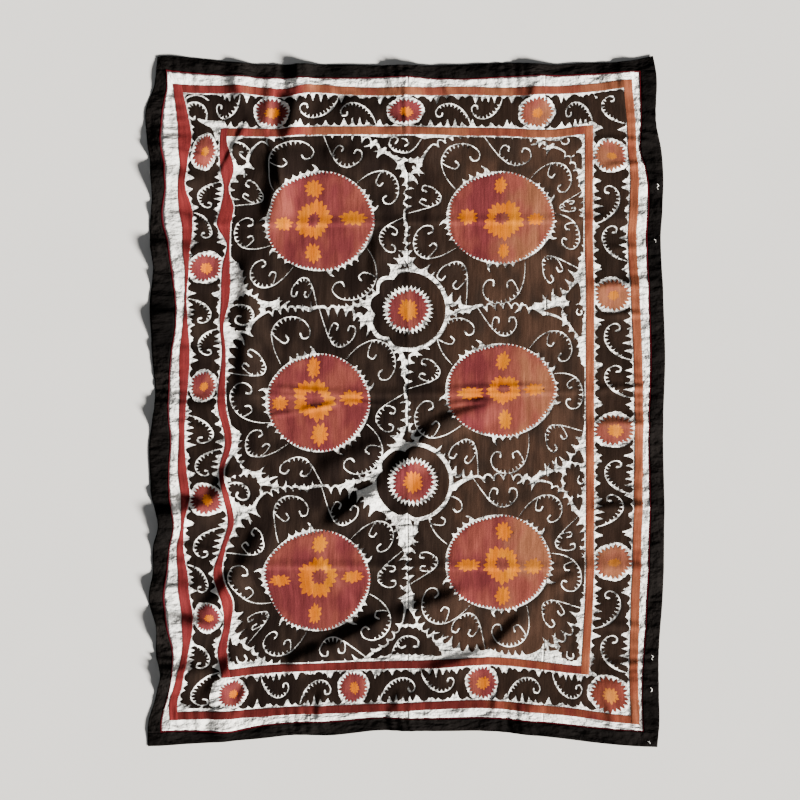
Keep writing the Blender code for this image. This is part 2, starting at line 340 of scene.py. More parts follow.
def outline_middle():
    """Middle of the laid cloth's box, from points all round its edge."""
    steps = np.linspace(-1, 1, 401)
    ones = np.ones_like(steps)
    across = np.concatenate([steps, steps, -ones, ones]) * HALF_WIDTH
    along = np.concatenate([-ones, ones, steps, steps]) * HALF_LENGTH
    x, y, _ = laid(across, along)
    return np.array([(x.min() + x.max()) / 2, (y.min() + y.max()) / 2, 0.0])


MIDDLE = outline_middle()


def on_floor(across, along, lift):
    """Points in the frame's own metres, `lift` above the underside of the cloth."""
    x, y, z = laid(across, along)
    return np.stack([x, y, z + lift], axis=1) - MIDDLE


print("Middle of the laid cloth", np.round(MIDDLE, 4))

# %% [markdown]
# ## Making a mesh from arrays
# Every piece below ends as two arrays, points and faces. One helper turns them
# into an object that sits at the origin, writes the plan as its UV map, in
# metres, so that weave and thread follow the cloth round its folds, and hangs
# it on the one body of the frame.

# %% Mesh helper
def make_piece(name, points, faces, plan, material, slot=None):
    """Object from points (n, 3), faces (m, 3 or 4) and the plan (n, 2) of each point."""
    mesh = bpy.data.meshes.new(name)
    corners = faces.shape[1]
    mesh.vertices.add(len(points))
    mesh.vertices.foreach_set("co", points.astype(np.float32).ravel())
    mesh.loops.add(faces.size)
    mesh.loops.foreach_set("vertex_index", faces.astype(np.int32).ravel())
    mesh.polygons.add(len(faces))
    mesh.polygons.foreach_set("loop_start", np.arange(0, faces.size, corners, dtype=np.int32))
    mesh.polygons.foreach_set("use_smooth", np.ones(len(faces), dtype=bool))
    mesh.update(calc_edges=True)
    mesh.validate()
    uv = mesh.uv_layers.new(name="plan")
    uv.data.foreach_set("uv", plan[faces.ravel()].astype(np.float32).ravel())
    mesh.materials.append(material)
    piece = bpy.data.objects.new(name, mesh)
    bpy.context.scene.collection.objects.link(piece)
    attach(piece, "root")
    return piece


def grid_faces(columns, rows):
    """Four-cornered faces of a grid of points stored row by row, facing up."""
    corner = np.arange((rows - 1) * columns).reshape(rows - 1, columns)[:, :-1].ravel()
    return np.stack([corner, corner + 1, corner + columns + 1, corner + columns], axis=1)


def lines_between(start, end, step):
    """Plan lines from start to end, no further apart than step."""
    return np.linspace(start, end, int(np.ceil((end - start) / step)) + 1)


# %% [markdown]
# ## Colours and threads
# The cloth is hand-woven cotton, a warm off-white. The work on it is couching:
# silk laid side by side, up and down the cloth, and tied down by short slanted
# stitches. So every coloured field shows fine upright ribs, streaks where a new
# dye lot of thread began, and rows of ticks. All of it is worked out by nodes
# from the plan, which every piece carries as its UV map.

# %% Node helper
def new_material(name, base, roughness, sheen=0.0):
    """Material with its plain values set on the shader's own sockets."""
    material = bpy.data.materials.new(name)
    material.use_nodes = True
    shader = material.node_tree.nodes["Principled BSDF"]
    shader.inputs["Base Color"].default_value = (*base, 1.0)
    shader.inputs["Roughness"].default_value = roughness
    shader.inputs["Specular IOR Level"].default_value = 0.0
    shader.inputs["Sheen Weight"].default_value = sheen
    shader.inputs["Sheen Roughness"].default_value = 0.5
    material.diffuse_color = (*base, 1.0)
    return material


def add(material, kind, **settings):
    """New node. Settings named like its properties are set on it, others on its inputs."""
    node = material.node_tree.nodes.new(kind)
    for name, value in settings.items():
        if hasattr(node, name):
            setattr(node, name, value)
        else:
            node.inputs[name.replace("_", " ")].default_value = value
    return node


def link(material, start, end):
    """Wire from an output socket to an input socket."""
    material.node_tree.links.new(start, end)


def plan_coordinates(material, scale, turn=0.0):
    """The plan in metres, stretched by a scale along each of its directions."""
    coordinates = add(material, "ShaderNodeTexCoord")
    mapping = add(material, "ShaderNodeMapping")
    mapping.inputs["Scale"].default_value = scale
    mapping.inputs["Rotation"].default_value = (0.0, 0.0, turn)
    link(material, coordinates.outputs["UV"], mapping.inputs["Vector"])
    return mapping.outputs["Vector"]


def noise(material, scale, detail=3.0, roughness=0.6, turn=0.0):
    """Noise over the plan, finer in one direction than the other by its scale."""
    texture = add(material, "ShaderNodeTexNoise")
    texture.inputs["Scale"].default_value = 1.0
    texture.inputs["Detail"].default_value = detail
    texture.inputs["Roughness"].default_value = roughness
    link(material, plan_coordinates(material, scale, turn), texture.inputs["Vector"])
    return texture.outputs["Fac"]


def spread(material, value, low, high, to_low, to_high):
    """Range of a value moved to another, with both ends held."""
    node = add(material, "ShaderNodeMapRange", interpolation_type="SMOOTHSTEP")
    ends = (("From Min", low), ("From Max", high), ("To Min", to_low), ("To Max", to_high))
    for socket, number in ends:
        node.inputs[socket].default_value = number
    link(material, value, node.inputs["Value"])
    return node.outputs["Result"]


def figure(material, operation, first, second):
    """Sum, product or other operation of two values, each a socket or a number."""
    node = add(material, "ShaderNodeMath", operation=operation)
    for socket, value in zip(node.inputs, (first, second)):
        if isinstance(value, (int, float)):
            socket.default_value = value
        else:
            link(material, value, socket)
    return node.outputs[0]


def blend_colours(material, share, first, second, kind="MIX"):
    """Mix of two colours, each a socket or three numbers."""
    node = add(material, "ShaderNodeMix", data_type="RGBA", blend_type=kind)
    for socket, value in ((node.inputs[6], first), (node.inputs[7], second)):
        if isinstance(value, tuple):
            socket.default_value = (*value, 1.0)
        else:
            link(material, value, socket)
    if isinstance(share, (int, float)):
        node.inputs[0].default_value = share
    else:
        link(material, share, node.inputs[0])
    return node.outputs[2]


def shade(material, colour, value):
    """Colour made lighter or darker by a value about 1."""
    grey = add(material, "ShaderNodeCombineColor")
    for socket in grey.inputs[:3]:
        link(material, value, socket)
    return blend_colours(material, 1.0, colour, grey.outputs["Color"], "MULTIPLY")


def relief(material, layers):
    """Bump from several heights, each a socket, a strength and a depth in metres."""
    normal = None
    for height, strength, depth in layers:
        node = add(material, "ShaderNodeBump")
        node.inputs["Strength"].default_value = strength
        node.inputs["Distance"].default_value = depth
        link(material, height, node.inputs["Height"])
        if normal is not None:
            link(material, normal, node.inputs["Normal"])
        normal = node.outputs["Normal"]
    link(material, normal, material.node_tree.nodes["Principled BSDF"].inputs["Normal"])


def set_colour(material, colour):
    """Colour socket wired to the shader's base colour."""
    link(material, colour, material.node_tree.nodes["Principled BSDF"].inputs["Base Color"])


# %% [markdown]
# ## Cream, black and red cotton
# Plain weave is one thread over, one under. At arm's length it reads as fine
# grain, with thicker threads here and there, so the relief is two sets of
# bands, across and along, and slow noise carries the crinkles between them.

# %% Cotton
def bands(material, pitch, across=True):
    """Ridges at a pitch in metres, across or along the plan."""
    direction = "X" if across else "Y"
    wave = add(material, "ShaderNodeTexWave", wave_type="BANDS", bands_direction=direction)
    wave.inputs["Scale"].default_value = 1.0
    wave.inputs["Distortion"].default_value = 1.5
    wave.inputs["Detail"].default_value = 1.0
    wave.inputs["Detail Scale"].default_value = 0.2
    unit = 0.314 / pitch
    link(material, plan_coordinates(material, (unit, unit, 1.0)), wave.inputs["Vector"])
    return wave.outputs["Fac"]


def cotton(name, base, dark, crinkle, thread=0.0016):
    """Woven cotton: base and its darker tone, and how deep its crinkles are, in metres."""
    material = new_material(name, base, 0.90)
    stain = spread(material, noise(material, (3.0, 3.0, 1.0), 4.0), 0.35, 0.72, 0.0, 1.0)
    grain = spread(material, noise(material, (260.0, 60.0, 1.0), 2.0), 0.25, 0.75, 0.93, 1.05)
    slub = spread(material, noise(material, (40.0, 420.0, 1.0), 2.0), 0.25, 0.75, 0.95, 1.04)
    colour = blend_colours(material, stain, base, dark)
    colour = shade(material, shade(material, colour, grain), slub)
    set_colour(material, colour)
    weave = figure(material, "ADD", bands(material, thread, True), bands(material, thread, False))
    fine = noise(material, (48.0, 66.0, 1.0), 3.0, 0.55)
    slow = noise(material, (9.0, 22.0, 1.0), 2.0, 0.5, 0.35)
    sharp = figure(material, "ABSOLUTE", figure(material, "SUBTRACT", slow, 0.5), 0.0)
    broad = noise(material, (8.0, 15.0, 1.0), 2.0, 0.5, 0.4)
    relief(material, ((weave, 0.35, 0.0003), (fine, 1.0, crinkle * 0.65), (sharp, 1.0, crinkle * 1.2),
                      (broad, 1.0, crinkle * 2.8)))
    return material


cream = cotton("cream_cotton", (0.87, 0.85, 0.80), (0.74, 0.73, 0.70), 0.018)
black = cotton("black_cotton", (0.0032, 0.0028, 0.0027), (0.0080, 0.0068, 0.0063), 0.012)
piping_red = cotton("piping_red", (0.0539, 0.00462, 0.00693), (0.0347, 0.00308, 0.00539), 0.001)
print("Cottons", cream.name, black.name, piping_red.name)

# %% [markdown]
# ## The ground cloth and the border
# Each loom width is a sheet of its own in the frame, so each is one here: a
# grid over its part of the plan, laid, and given its thickness downwards by a
# Solidify modifier. Its sewn edges dip a little, as a seam does.

# %% Ground and border sheets
GRID_STEP = 0.0065
STITCH_SINK = 0.0007
SEAM_DIP = 0.0007
SEAM_SOFT = 0.006


def sheet_piece(name, across, along, thick, material, dips=()):
    """Sheet of cloth over the plan lines given, with its thickness below its top,
    and shallow dips along the seams named by their place across."""
    u, v = np.meshgrid(across, along)
    plan = np.stack([u.ravel(), v.ravel()], axis=1)
    points = on_floor(plan[:, 0], plan[:, 1], thick - STITCH_SINK)
    for seam in dips:
        points[:, 2] -= SEAM_DIP * np.exp(-(((plan[:, 0] - seam) / SEAM_SOFT) ** 2))
    piece = make_piece(name + "_cloth", points, grid_faces(len(across), len(along)), plan, material)
    solid = piece.modifiers.new("thickness", "SOLIDIFY")
    solid.thickness = thick - STITCH_SINK - 0.0001
    solid.offset = -1.0
    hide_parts(name)
    return piece


ground_across = HALF_WIDTH - BORDER - PIPING
ground_along = HALF_LENGTH - BORDER - PIPING
seam_across = HALF_WIDTH - BORDER
seam_along = HALF_LENGTH - BORDER
width_ends = (-ground_across, *SEAMS_ACROSS, ground_across)
rows_along = lines_between(-ground_along, ground_along, GRID_STEP)
panel_names = ("panel_left", "panel_mid_left", "panel_mid_right", "panel_right")
columns_all = [lines_between(a, b, GRID_STEP) for a, b in zip(width_ends, width_ends[1:])]
for name, columns in zip(panel_names, columns_all):
    sheet_piece(name, columns, rows_along, GROUND_THICK, cream, SEAMS_ACROSS)

long_rows = lines_between(-seam_along, seam_along, GRID_STEP)
wide_columns = lines_between(-HALF_WIDTH, HALF_WIDTH, GRID_STEP)
strip = lines_between(0.0, BORDER, 0.0055)
sheet_piece("border_left", strip - HALF_WIDTH, long_rows, BORDER_THICK, black)
sheet_piece("border_right", strip + seam_across, long_rows, BORDER_THICK, black)
sheet_piece("border_bottom", wide_columns, strip - HALF_LENGTH, BORDER_THICK, black)
sheet_piece("border_top", wide_columns, strip + seam_along, BORDER_THICK, black)

# %% [markdown]
# ## The red piping
# A thin folded strip of crimson is let into the seam of the border. It stands
# up a little as a half-round bead, so it is a small round profile carried
# along the four seam lines of the plan.

# %% Piping
BEAD_HEIGHT = 0.0016


def bead(name, ends, offset, upright):
    """Half-round bead along a straight line of the plan: a half circle of points,
    carried along the line, laid on the cloth."""
    turn = np.linspace(0, np.pi, 7)
    side = offset - np.cos(turn) * PIPING * 0.50
    lift = 0.0010 + np.sin(turn) * BEAD_HEIGHT
    run = lines_between(*ends, GRID_STEP)
    s, v = np.meshgrid(side, run)
    height = np.broadcast_to(lift, s.shape)
    plan = np.stack([s.ravel(), v.ravel()], axis=1)
    if not upright:
        plan = plan[:, ::-1]
    points = on_floor(plan[:, 0], plan[:, 1], height.ravel())
    faces = grid_faces(len(turn), len(run))
    if not upright:
        faces = faces[:, ::-1]
    piece = make_piece(name + "_bead", points, faces, plan, piping_red)
    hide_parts(name)
    return piece


mid_across = ground_across + PIPING / 2
mid_along = ground_along + PIPING / 2
bead("piping_left", (-seam_along, seam_along), -mid_across, True)
bead("piping_right", (-seam_along, seam_along), mid_across, True)
bead("piping_bottom", (-seam_across, seam_across), -mid_along, False)
bead("piping_top", (-seam_across, seam_across), mid_along, False)
print("Piping", round(4 * (seam_across + seam_along), 2), "m round the cloth")


# %% [markdown]
# ## Lines, teeth and stars
# The pattern of a suzani was drawn on the cloth in ink before it was sewn, and
# here it is drawn first too. A flat painted pattern would do from far off, but
# it would have no edge and no height from close by. So each motif is a closed
# outline in millimetres of the plan, worked out from a few numbers: a line of
# uneven width, a row of small teeth, a star, a leaf or a drop.

# %% Lines and teeth
STEP = 3.5


def smooth_line(points, step=STEP):
    """Points about `step` apart on a smooth curve through the rows given: a cubic
    between rows, with slopes from the neighbours, measured along the chords."""
    points = np.asarray(points, float)
    chords = np.hypot(*np.diff(points[:, :2], axis=0).T)
    places = np.concatenate([[0.0], np.cumsum(chords)])
    count = max(int(np.ceil(places[-1] / step)), 3)
    return smooth(np.linspace(0, places[-1], count + 1), places, points)


def left_of(line):
    """Unit vectors to the left of an open line."""
    ahead = np.gradient(line, axis=0)
    ahead = ahead / np.maximum(np.hypot(ahead[:, 0], ahead[:, 1]), 1e-9)[:, None]
    return np.stack([-ahead[:, 1], ahead[:, 0]], axis=1)


def stroke(points):
    """Outline of a line of uneven width: each row is x, y, width. Half the width
    is laid off to the left and right of the smooth line, and the ends are round."""
    rows = smooth_line(points)
    line, half = rows[:, :2], np.maximum(rows[:, 2:3], 1.0) / 2
    side = left_of(line)
    ahead = np.stack([side[:, 1], -side[:, 0]], axis=1)
    tail = line[0] - ahead[0] * half[0]
    head = line[-1] + ahead[-1] * half[-1]
    return np.vstack([line + side * half, [head], (line - side * half)[::-1], [tail]])


def teeth_on(points, start, end, side, long, pitch, wide):
    """Small pointed teeth on one side of a line: a triangle every `pitch`, whose
    base is on the line and whose tip stands off to the side. side is 1 for left."""
    line = smooth_line(points)[:, :2]
    run = np.concatenate([[0.0], np.cumsum(np.hypot(*np.diff(line, axis=0).T))])
    first, last = start * run[-1], end * run[-1]
    count = max(int(round((last - first) / pitch)), 1)
    at = first + (np.arange(count) + 0.5) * (last - first) / count

    def on(d):
        """Points at distances d along the line."""
        return np.stack([np.interp(d, run, line[:, 0]), np.interp(d, run, line[:, 1])], axis=1)

    normals = left_of(line) * side
    out = np.stack([np.interp(at, run, normals[:, 0]), np.interp(at, run, normals[:, 1])], axis=1)
    grow = 0.75 + 0.5 * np.sin(np.pi * (np.arange(count) + 0.5) / count)[:, None]
    return np.stack([on(at - wide / 2), on(at + wide / 2), on(at) + out * long * grow], axis=1)


sample_row = teeth_on(((0, 0), (100, 0)), 0.0, 1.0, 1, 12, 20, 9)
print("A row of", len(sample_row), "teeth on a line 100 mm long")


# %% Stars, leaves and drops
def star(x, y, half_x, half_y, points, depth, turn=0.0, power=1.0, per=2):
    """Round motif with points: radius falls from 1 at each tip to 1 - depth between
    tips. power below 1 gives rounder petals, and per is how many rows a point has."""
    t = np.arange(points * per) / per
    saw = 1 - np.abs(2 * (t % 1.0) - 1)
    reach = 1 - depth * (1 - saw**power)
    turns = 2 * np.pi * t / points + np.radians(turn)
    return np.stack([x + half_x * reach * np.sin(turns), y + half_y * reach * np.cos(turns)], axis=1)


def notch(at, places, depth, wide):
    """Depth of the nearest of several notches: a cusp as wide as `wide` at the edge."""
    places, depth, wide = np.broadcast_arrays(*np.atleast_1d(places, depth, wide))
    gap = np.abs(at[:, None] - places[None, :]) / (wide[None, :] / 2)
    return (depth[None, :] * np.clip(1 - gap, 0, 1) ** 1.4).max(axis=1)


def lobes(at, start, end, count, depth):
    """Inward depth of an edge that is all round lobes from start to end: nothing at
    the middle of each lobe, and a sharp notch where two lobes meet."""
    u = (at - start) / (end - start) * count
    cut = depth * (1 - np.abs(np.sin(np.pi * u)) ** 0.52)
    return np.where((u > -0.5) & (u < count + 0.5), cut, 0.0)


def leaf(points, upper, lower):
    """Leaf: half widths laid off from a smooth spine, each row x, y, half width, and
    both edges in lobes. upper and lower are how many lobes and how deep."""
    rows = smooth_line(points)
    line, half = rows[:, :2], np.maximum(rows[:, 2], 0.6)
    side = left_of(line)
    t = np.linspace(0, 1, len(line))
    sides = []
    for sign, (count, depth) in ((1, upper), (-1, lower)):
        reach = half.copy()
        if count:
            reach = reach - np.minimum(lobes(t, 0.0, 1.0, count, depth), 0.6 * half)
        sides.append(line + sign * side * reach[:, None])
    return np.vstack([sides[0], sides[1][::-1]])


def drop(x, y, long, wide, turn):
    """Drop with its tip towards `turn`, in degrees clockwise from the top, and a
    small cleft in its round end."""
    t = np.linspace(0, 2 * np.pi, 40, endpoint=False)
    along = 0.5 * np.cos(t) + 0.05 * np.cos(2 * t)
    across = 0.5 * np.sin(t) * (1 - 0.55 * np.cos(t))
    along = along + 0.10 * np.exp(-((t - np.pi) / 0.28) ** 2)
    angle = np.radians(turn)
    ax, ay = np.sin(angle), np.cos(angle)
    return np.stack([x + long * along * ax + wide * across * ay,
                     y + long * along * ay - wide * across * ax], axis=1)


print("A star of 12 points has", len(star(0, 0, 50, 50, 12, 0.2)), "corners")

# %% [markdown]
# ## The white curls
# Each white curl is cloth left bare between two fields of brown: a long tail, a
# round head, and small teeth inside it, where the rows of stitches end. On the
# medallions there are two curls that face each other, on the border one hook.
# One table of a curl in its own cell serves all of them, because the cell is
# bent and stretched to its place, as the maker did by eye.

# %% Curls
# Rows: along the cell, across it (0 is the edge that the tail starts on), width.
TWIN_CURL = ((0.00, 0.00, 3.0), (0.05, 0.16, 3.8), (0.15, 0.42, 4.6), (0.31, 0.68, 5.2), (0.52, 0.82, 5.2),
             (0.75, 0.82, 4.8), (0.93, 0.68, 5.0), (1.00, 0.47, 5.2), (0.92, 0.32, 6.0), (0.81, 0.33, 7.4),
             (0.79, 0.44, 8.0))
SIDE_CURL = ((0.27, 0.62, 3.5), (0.31, 0.46, 4.6), (0.40, 0.33, 5.6), (0.50, 0.37, 6.8), (0.49, 0.48, 7.6))
HOOK = ((0.00, 0.02, 3.5), (0.05, 0.20, 6.0), (0.16, 0.42, 8.5), (0.34, 0.63, 6.5), (0.62, 0.75, 4.8),
        (0.82, 0.71, 4.8), (0.96, 0.57, 5.0), (1.00, 0.42, 5.6), (0.93, 0.31, 6.8), (0.83, 0.33, 8.0),
        (0.81, 0.43, 8.2))


LINE_SHARE = 0.84


def curl(place, outer_tail, twin):
    """White curl of one cell: place(s, r) gives plan points, and r is turned over
    for a cell whose tail starts on the outer edge. Teeth stand inside the curl."""
    parts = []
    rows = np.array(TWIN_CURL if twin else HOOK)
    r = 1 - rows[:, 1] if outer_tail else rows[:, 1]
    main = np.column_stack([place(rows[:, 0], r), rows[:, 2] * LINE_SHARE])
    parts.append(stroke(main))
    inside = main[-1, :2] - main[4, :2]
    ahead = main[5, :2] - main[3, :2]
    side = 1 if ahead[0] * inside[1] - ahead[1] * inside[0] > 0 else -1
    span = (0.30, 0.70) if twin else (0.12, 0.72)
    size = (14, 18, 8.5) if twin else (13, 16, 9)
    parts.extend(teeth_on(main, *span, side, *size))
    if twin:
        rows = np.array(SIDE_CURL)
        r = 1 - rows[:, 1] if outer_tail else rows[:, 1]
        parts.append(stroke(np.column_stack([place(rows[:, 0], r), rows[:, 2] * LINE_SHARE])))
    return parts


one_curl = curl(lambda along, across: np.stack([along * 90, across * 60], axis=-1), False, True)
print("One twin curl has", len(one_curl), "bare shapes")

# %% [markdown]
# ## The six medallions
# A medallion is a red disc with gold flowers, inside a wide brown ring that is
# nearly square, because its neighbours press on it. No two are alike: they were
# drawn by hand, so each has its own sizes, its own number of curls and its own
# flowers. A pattern that repeats would look printed. The tables hold what
# differs, and the functions what is common to all.

# %% Sizes of the medallions
# name, disc middle x, y, half sizes, ring middle x, y, half sizes, mm
MEDALLIONS = {
    "top_left": (-318, 639, 197, 177, -324, 638, 324, 316),
    "top_right": (338, 653, 195, 166, 320, 636, 323, 318),
    "mid_left": (-320, -16, 184, 177, -325, 2, 322, 323),
    "mid_right": (338, 29, 199, 168, 323, 20, 325, 313),
    "low_left": (-324, -655, 188, 179, -326, -640, 321, 317),
    "low_right": (329, -597, 190, 175, 328, -606, 320, 321),
}
# Curls round each ring, clockwise from the top in degrees: tail, end, and which
# edge the tail starts on.
RING_CURLS = {
    "top_left": ((307, 356, "in"), (3, 34, "out"), (42, 76, "in"), (86, 114, "out"), (122, 169, "in"),
                 (180, 201, "out"), (208, 236, "in"), (242, 273, "in"), (280, 302, "out")),
    "top_right": ((306, 345, "in"), (351, 386, "out"), (33, 66, "in"), (71, 83, "out"), (84, 113, "in"),
                  (119, 142, "out"), (154, 192, "in"), (199, 228, "out"), (232, 265, "in"),
                  (275, 297, "out")),
    "mid_left": ((317, 354, "in"), (1, 29, "out"), (31, 73, "in"), (86, 115, "out"), (115, 159, "in"),
                 (176, 208, "out"), (217, 245, "in"), (247, 284, "in"), (286, 309, "out")),
    "mid_right": ((347, 374, "out"), (30, 64, "in"), (70, 104, "in"), (114, 140, "out"), (151, 186, "in"),
                  (192, 218, "out"), (224, 262, "in"), (272, 296, "out"), (302, 340, "in")),
    "low_left": ((3, 32, "out"), (38, 68, "in"), (73, 98, "out"), (106, 142, "in"), (149, 178, "out"),
                 (192, 222, "in"), (227, 243, "out"), (246, 281, "in"), (285, 308, "out"), (315, 352, "in")),
    "low_right": ((292, 330, "in"), (344, 375, "out"), (22, 52, "in"), (58, 78, "out"), (78, 110, "in"),
                  (115, 140, "out"), (148, 185, "in"), (188, 216, "out"), (211, 250, "in"),
                  (258, 280, "out")),
}
print(len(MEDALLIONS), "medallions,", sum(len(rows) for rows in RING_CURLS.values()), "curls")

# %% Rings
SQUARENESS = 2.55
RING_GROWTH = 1.02
# Where a ring gives way to a centre rosette: turn, and share of its width.
RING_DENTS = {
    "top_left": ((135, 0.16),),
    "top_right": ((225, 0.16),),
    "mid_left": ((45, 0.14), (135, 0.16)),
    "mid_right": ((315, 0.16), (225, 0.16)),
    "low_left": ((45, 0.14),),
    "low_right": ((315, 0.16),),
}
DISC_GAP = 5


# Gold flowers of each disc, from its middle: x, y, half sizes, turn. The big one
# comes first, and its open middle has a table of its own.
GOLD_FLOWERS = {
    "top_left": ((-23, 6, 68, 70, 0), (-20, 116, 36, 34, 10), (-24, -114, 31, 38, 160), (122, 10, 51, 29, 4),
                 (-132, -8, 33, 27, 30)),
    "top_right": ((11, -8, 71, 72, 6), (-1, 117, 24, 31, 0), (10, -119, 20, 30, 12), (-120, 3, 40, 29, 15),
                  (128, -3, 34, 23, 40)),
    "mid_left": ((-17, 11, 76, 75, 3), (-18, 128, 26, 39, 8), (2, -114, 35, 42, 170), (-136, -1, 31, 27, 20),
                 (118, 18, 44, 32, 5)),
    "mid_right": ((10, 3, 60, 54, 12), (7, 106, 27, 35, 0), (15, -105, 27, 37, 165), (-110, -10, 50, 26, 5),
                  (121, 4, 38, 25, 25)),
    "low_left": ((-1, 9, 72, 72, 20), (7, 130, 29, 34, 0), (-12, -118, 25, 39, 175), (-130, 1, 37, 23, 12),
                 (126, 12, 40, 24, 6)),
    "low_right": ((12, -7, 70, 68, 9), (19, 116, 31, 38, 10), (15, -121, 30, 37, 150),
                  (-110, -8, 45, 26, 18), (126, -10, 38, 31, 33)),
}
FLOWER_HOLES = {"top_left": (-22, 4, 25, 29), "top_right": (3, -1, 30, 24), "mid_left": (-16, 14, 38, 32),
                "mid_right": (10, 6, 25, 18), "low_left": (7, 13, 31, 29), "low_right": (14, -4, 29, 28)}


def flower(x, y, half_x, half_y, points, depth, turn, uneven=1.0):
    """Couched flower: a star of long petals, some longer than others, where the
    reach of each petal follows three slow waves round the flower."""
    shape = star(0, 0, 1, 1, points, depth, turn, 0.75, 6)
    t = np.linspace(0, 2 * np.pi, len(shape), endpoint=False)
    waves = 0.06 * np.sin(2 * t + turn) + 0.07 * np.sin(5 * t + 2 * turn) + 0.03 * np.sin(9 * t)
    reach = 1 + uneven * waves
    return shape * reach[:, None] * (half_x, half_y) + (x, y)


def ring_place(sizes):
    """Point between the disc's edge (r = 0) and the ring's outer edge (r = 1) at a
    turn clockwise from the top: the outer edge is a rounded square."""
    dx, dy, da, db, rx, ry, ra, rb = sizes

    def place(turn, r):
        """Point at a turn and a share r of the way from the disc to the outer edge."""
        ux, uy = np.sin(np.radians(turn)), np.cos(np.radians(turn))
        reach = (np.abs(ux / ra) ** SQUARENESS + np.abs(uy / rb) ** SQUARENESS) ** (-1 / SQUARENESS)
        inner = np.stack([dx + ux * (da + DISC_GAP), dy + uy * (db + DISC_GAP)], axis=-1)
        reach = reach * RING_GROWTH
        outer = np.stack([rx + ux * reach, ry + uy * reach], axis=-1)
        return inner + np.asarray(r)[..., None] * (outer - inner)

    return place


MARGIN = 6


def nicks(place, cells):
    """White nicks in the edges of a ring: a bent leaf from the outer edge at each
    outward curl, and a smaller one from the disc at each inward curl."""
    shapes = []
    for n, (start, end, tail) in enumerate(cells):
        wide = end - start
        if tail == "out":
            turn = np.array([1.08, 1.02, 0.93]) * wide + start
            rows = np.column_stack([place(turn, np.array([1.06, 0.90, 0.80])), (13, 9, 3)])
        else:
            turn = np.array([1.04, 1.0, 0.93]) * wide + start
            rows = np.column_stack([place(turn, np.array([-0.03, 0.08, 0.16])), (13, 8, 2)])
        shapes.append(stroke(rows))
        if tail == "out" and n % 2:
            turn = np.array([1.30, 1.25, 1.16]) * wide + start
            rows = np.column_stack([place(turn, np.array([1.05, 0.92, 0.83])), (11, 7, 2)])
            shapes.append(stroke(rows))
    return shapes


# %% Medallions
# Lobes: how far each kind cuts in, as a share of the ring's width.
OUTER_LOBES = 0.26
INWARD_LOBES = 0.19
INWARD_SWEEP = 0.13
DISC_LOBES = 0.12
LOBE_LEAN = 5
TURN_STEP = 0.6


def medallion(name):
    """All the shapes of one medallion, in the order they are laid on each other.
    The ring's edge is its rounded square less the lobes of each cell, which lean
    a little round it, and less a dent where a centre rosette presses on it."""
    sizes = MEDALLIONS[name]
    place = ring_place(sizes)
    cells = RING_CURLS[name]
    turns = np.arange(0, 360, TURN_STEP)
    outer = np.ones_like(turns)
    inner = np.zeros_like(turns)
    lean = np.zeros_like(turns)
    for start, end, tail in cells:
        wide = end - start
        near = (turns - start + 90) % 360 - 90
        if tail == "out":
            count = max(int(round(1.05 * wide / 6.0)), 3)
            cut = lobes(near, wide * 0.20, wide * 1.25, count, OUTER_LOBES)
            bulge = 0.06 * np.clip(1 - np.abs(near - wide * 0.72) / (wide * 0.6), 0, 1)
            cut = cut - bulge
            lean += np.clip(cut, 0, OUTER_LOBES) * LOBE_LEAN
        else:
            count = max(int(round(0.62 * wide / 7.0)), 2)
            inner = np.maximum(inner, lobes(near, wide * 0.34, wide * 0.98, count, DISC_LOBES))
            cut = lobes(near, wide * 0.02, wide * 1.02, 1, INWARD_SWEEP)
            count = int(round(wide / 8.0))
            cut = np.maximum(cut, lobes(near, wide * 0.42, wide * 1.04, count, INWARD_LOBES))
            cut = cut - 0.04 * np.clip(1 - (near / wide - 0.5) ** 2 * 4, 0, 1)
        outer -= cut
    for turn, depth in RING_DENTS[name]:
        outer -= depth * np.clip(np.cos(np.radians(turns - turn)), 0, 1) ** 10
    art = [("bare", place(turns, 1.0 + MARGIN / 125 - 0.5 * (1 - outer)))]
    art.append(("brown", place(turns + lean, outer)))
    art.append(("bare", place(turns, inner - 0.02)))
    art += [("bare", nick) for nick in nicks(place, cells)]
    for start, end, tail in cells:
        def cell(s, r, start=start, end=end):
            """Point of this curl's own cell, s round the ring and r across it."""
            return place(start + s * (end - start), 0.02 + 0.96 * np.asarray(r))
        art += [("bare", part) for part in curl(cell, tail == "out", True)]
    dx, dy, da, db = sizes[:4]
    art.append(("red", flower(dx, dy, da, db, 84, 0.062, 0, 0.25)))
    for n, (x, y, half_x, half_y, turn) in enumerate(GOLD_FLOWERS[name]):
        points, depth = (20, 0.20) if n == 0 else (11, 0.36)
        art.append(("gold", flower(dx + x, dy + y, half_x, half_y, points, depth, turn)))
        if n == 0:
            hole_x, hole_y, hole_wide, hole_tall = FLOWER_HOLES[name]
            art.append(("red", flower(dx + hole_x, dy + hole_y, hole_wide, hole_tall, 12, 0.30, turn)))
    return art


for name in MEDALLIONS:
    print(name, len(medallion(name)), "shapes")

# %% [markdown]
# ## The two centre rosettes
# Two small brown rings sit on the middle line where four medallions meet. Each
# has a white saw edge, a red middle with points and a gold flower. Shallow
# notches in the brown show where its maker began a new row.

# %% Centre rosettes
ROSETTE_LOBES = ((215, 262, 300, 335), (190, 345, 290))
ROSETTES = ((2, 320, 136, 137), (20, -302, 132, 130))


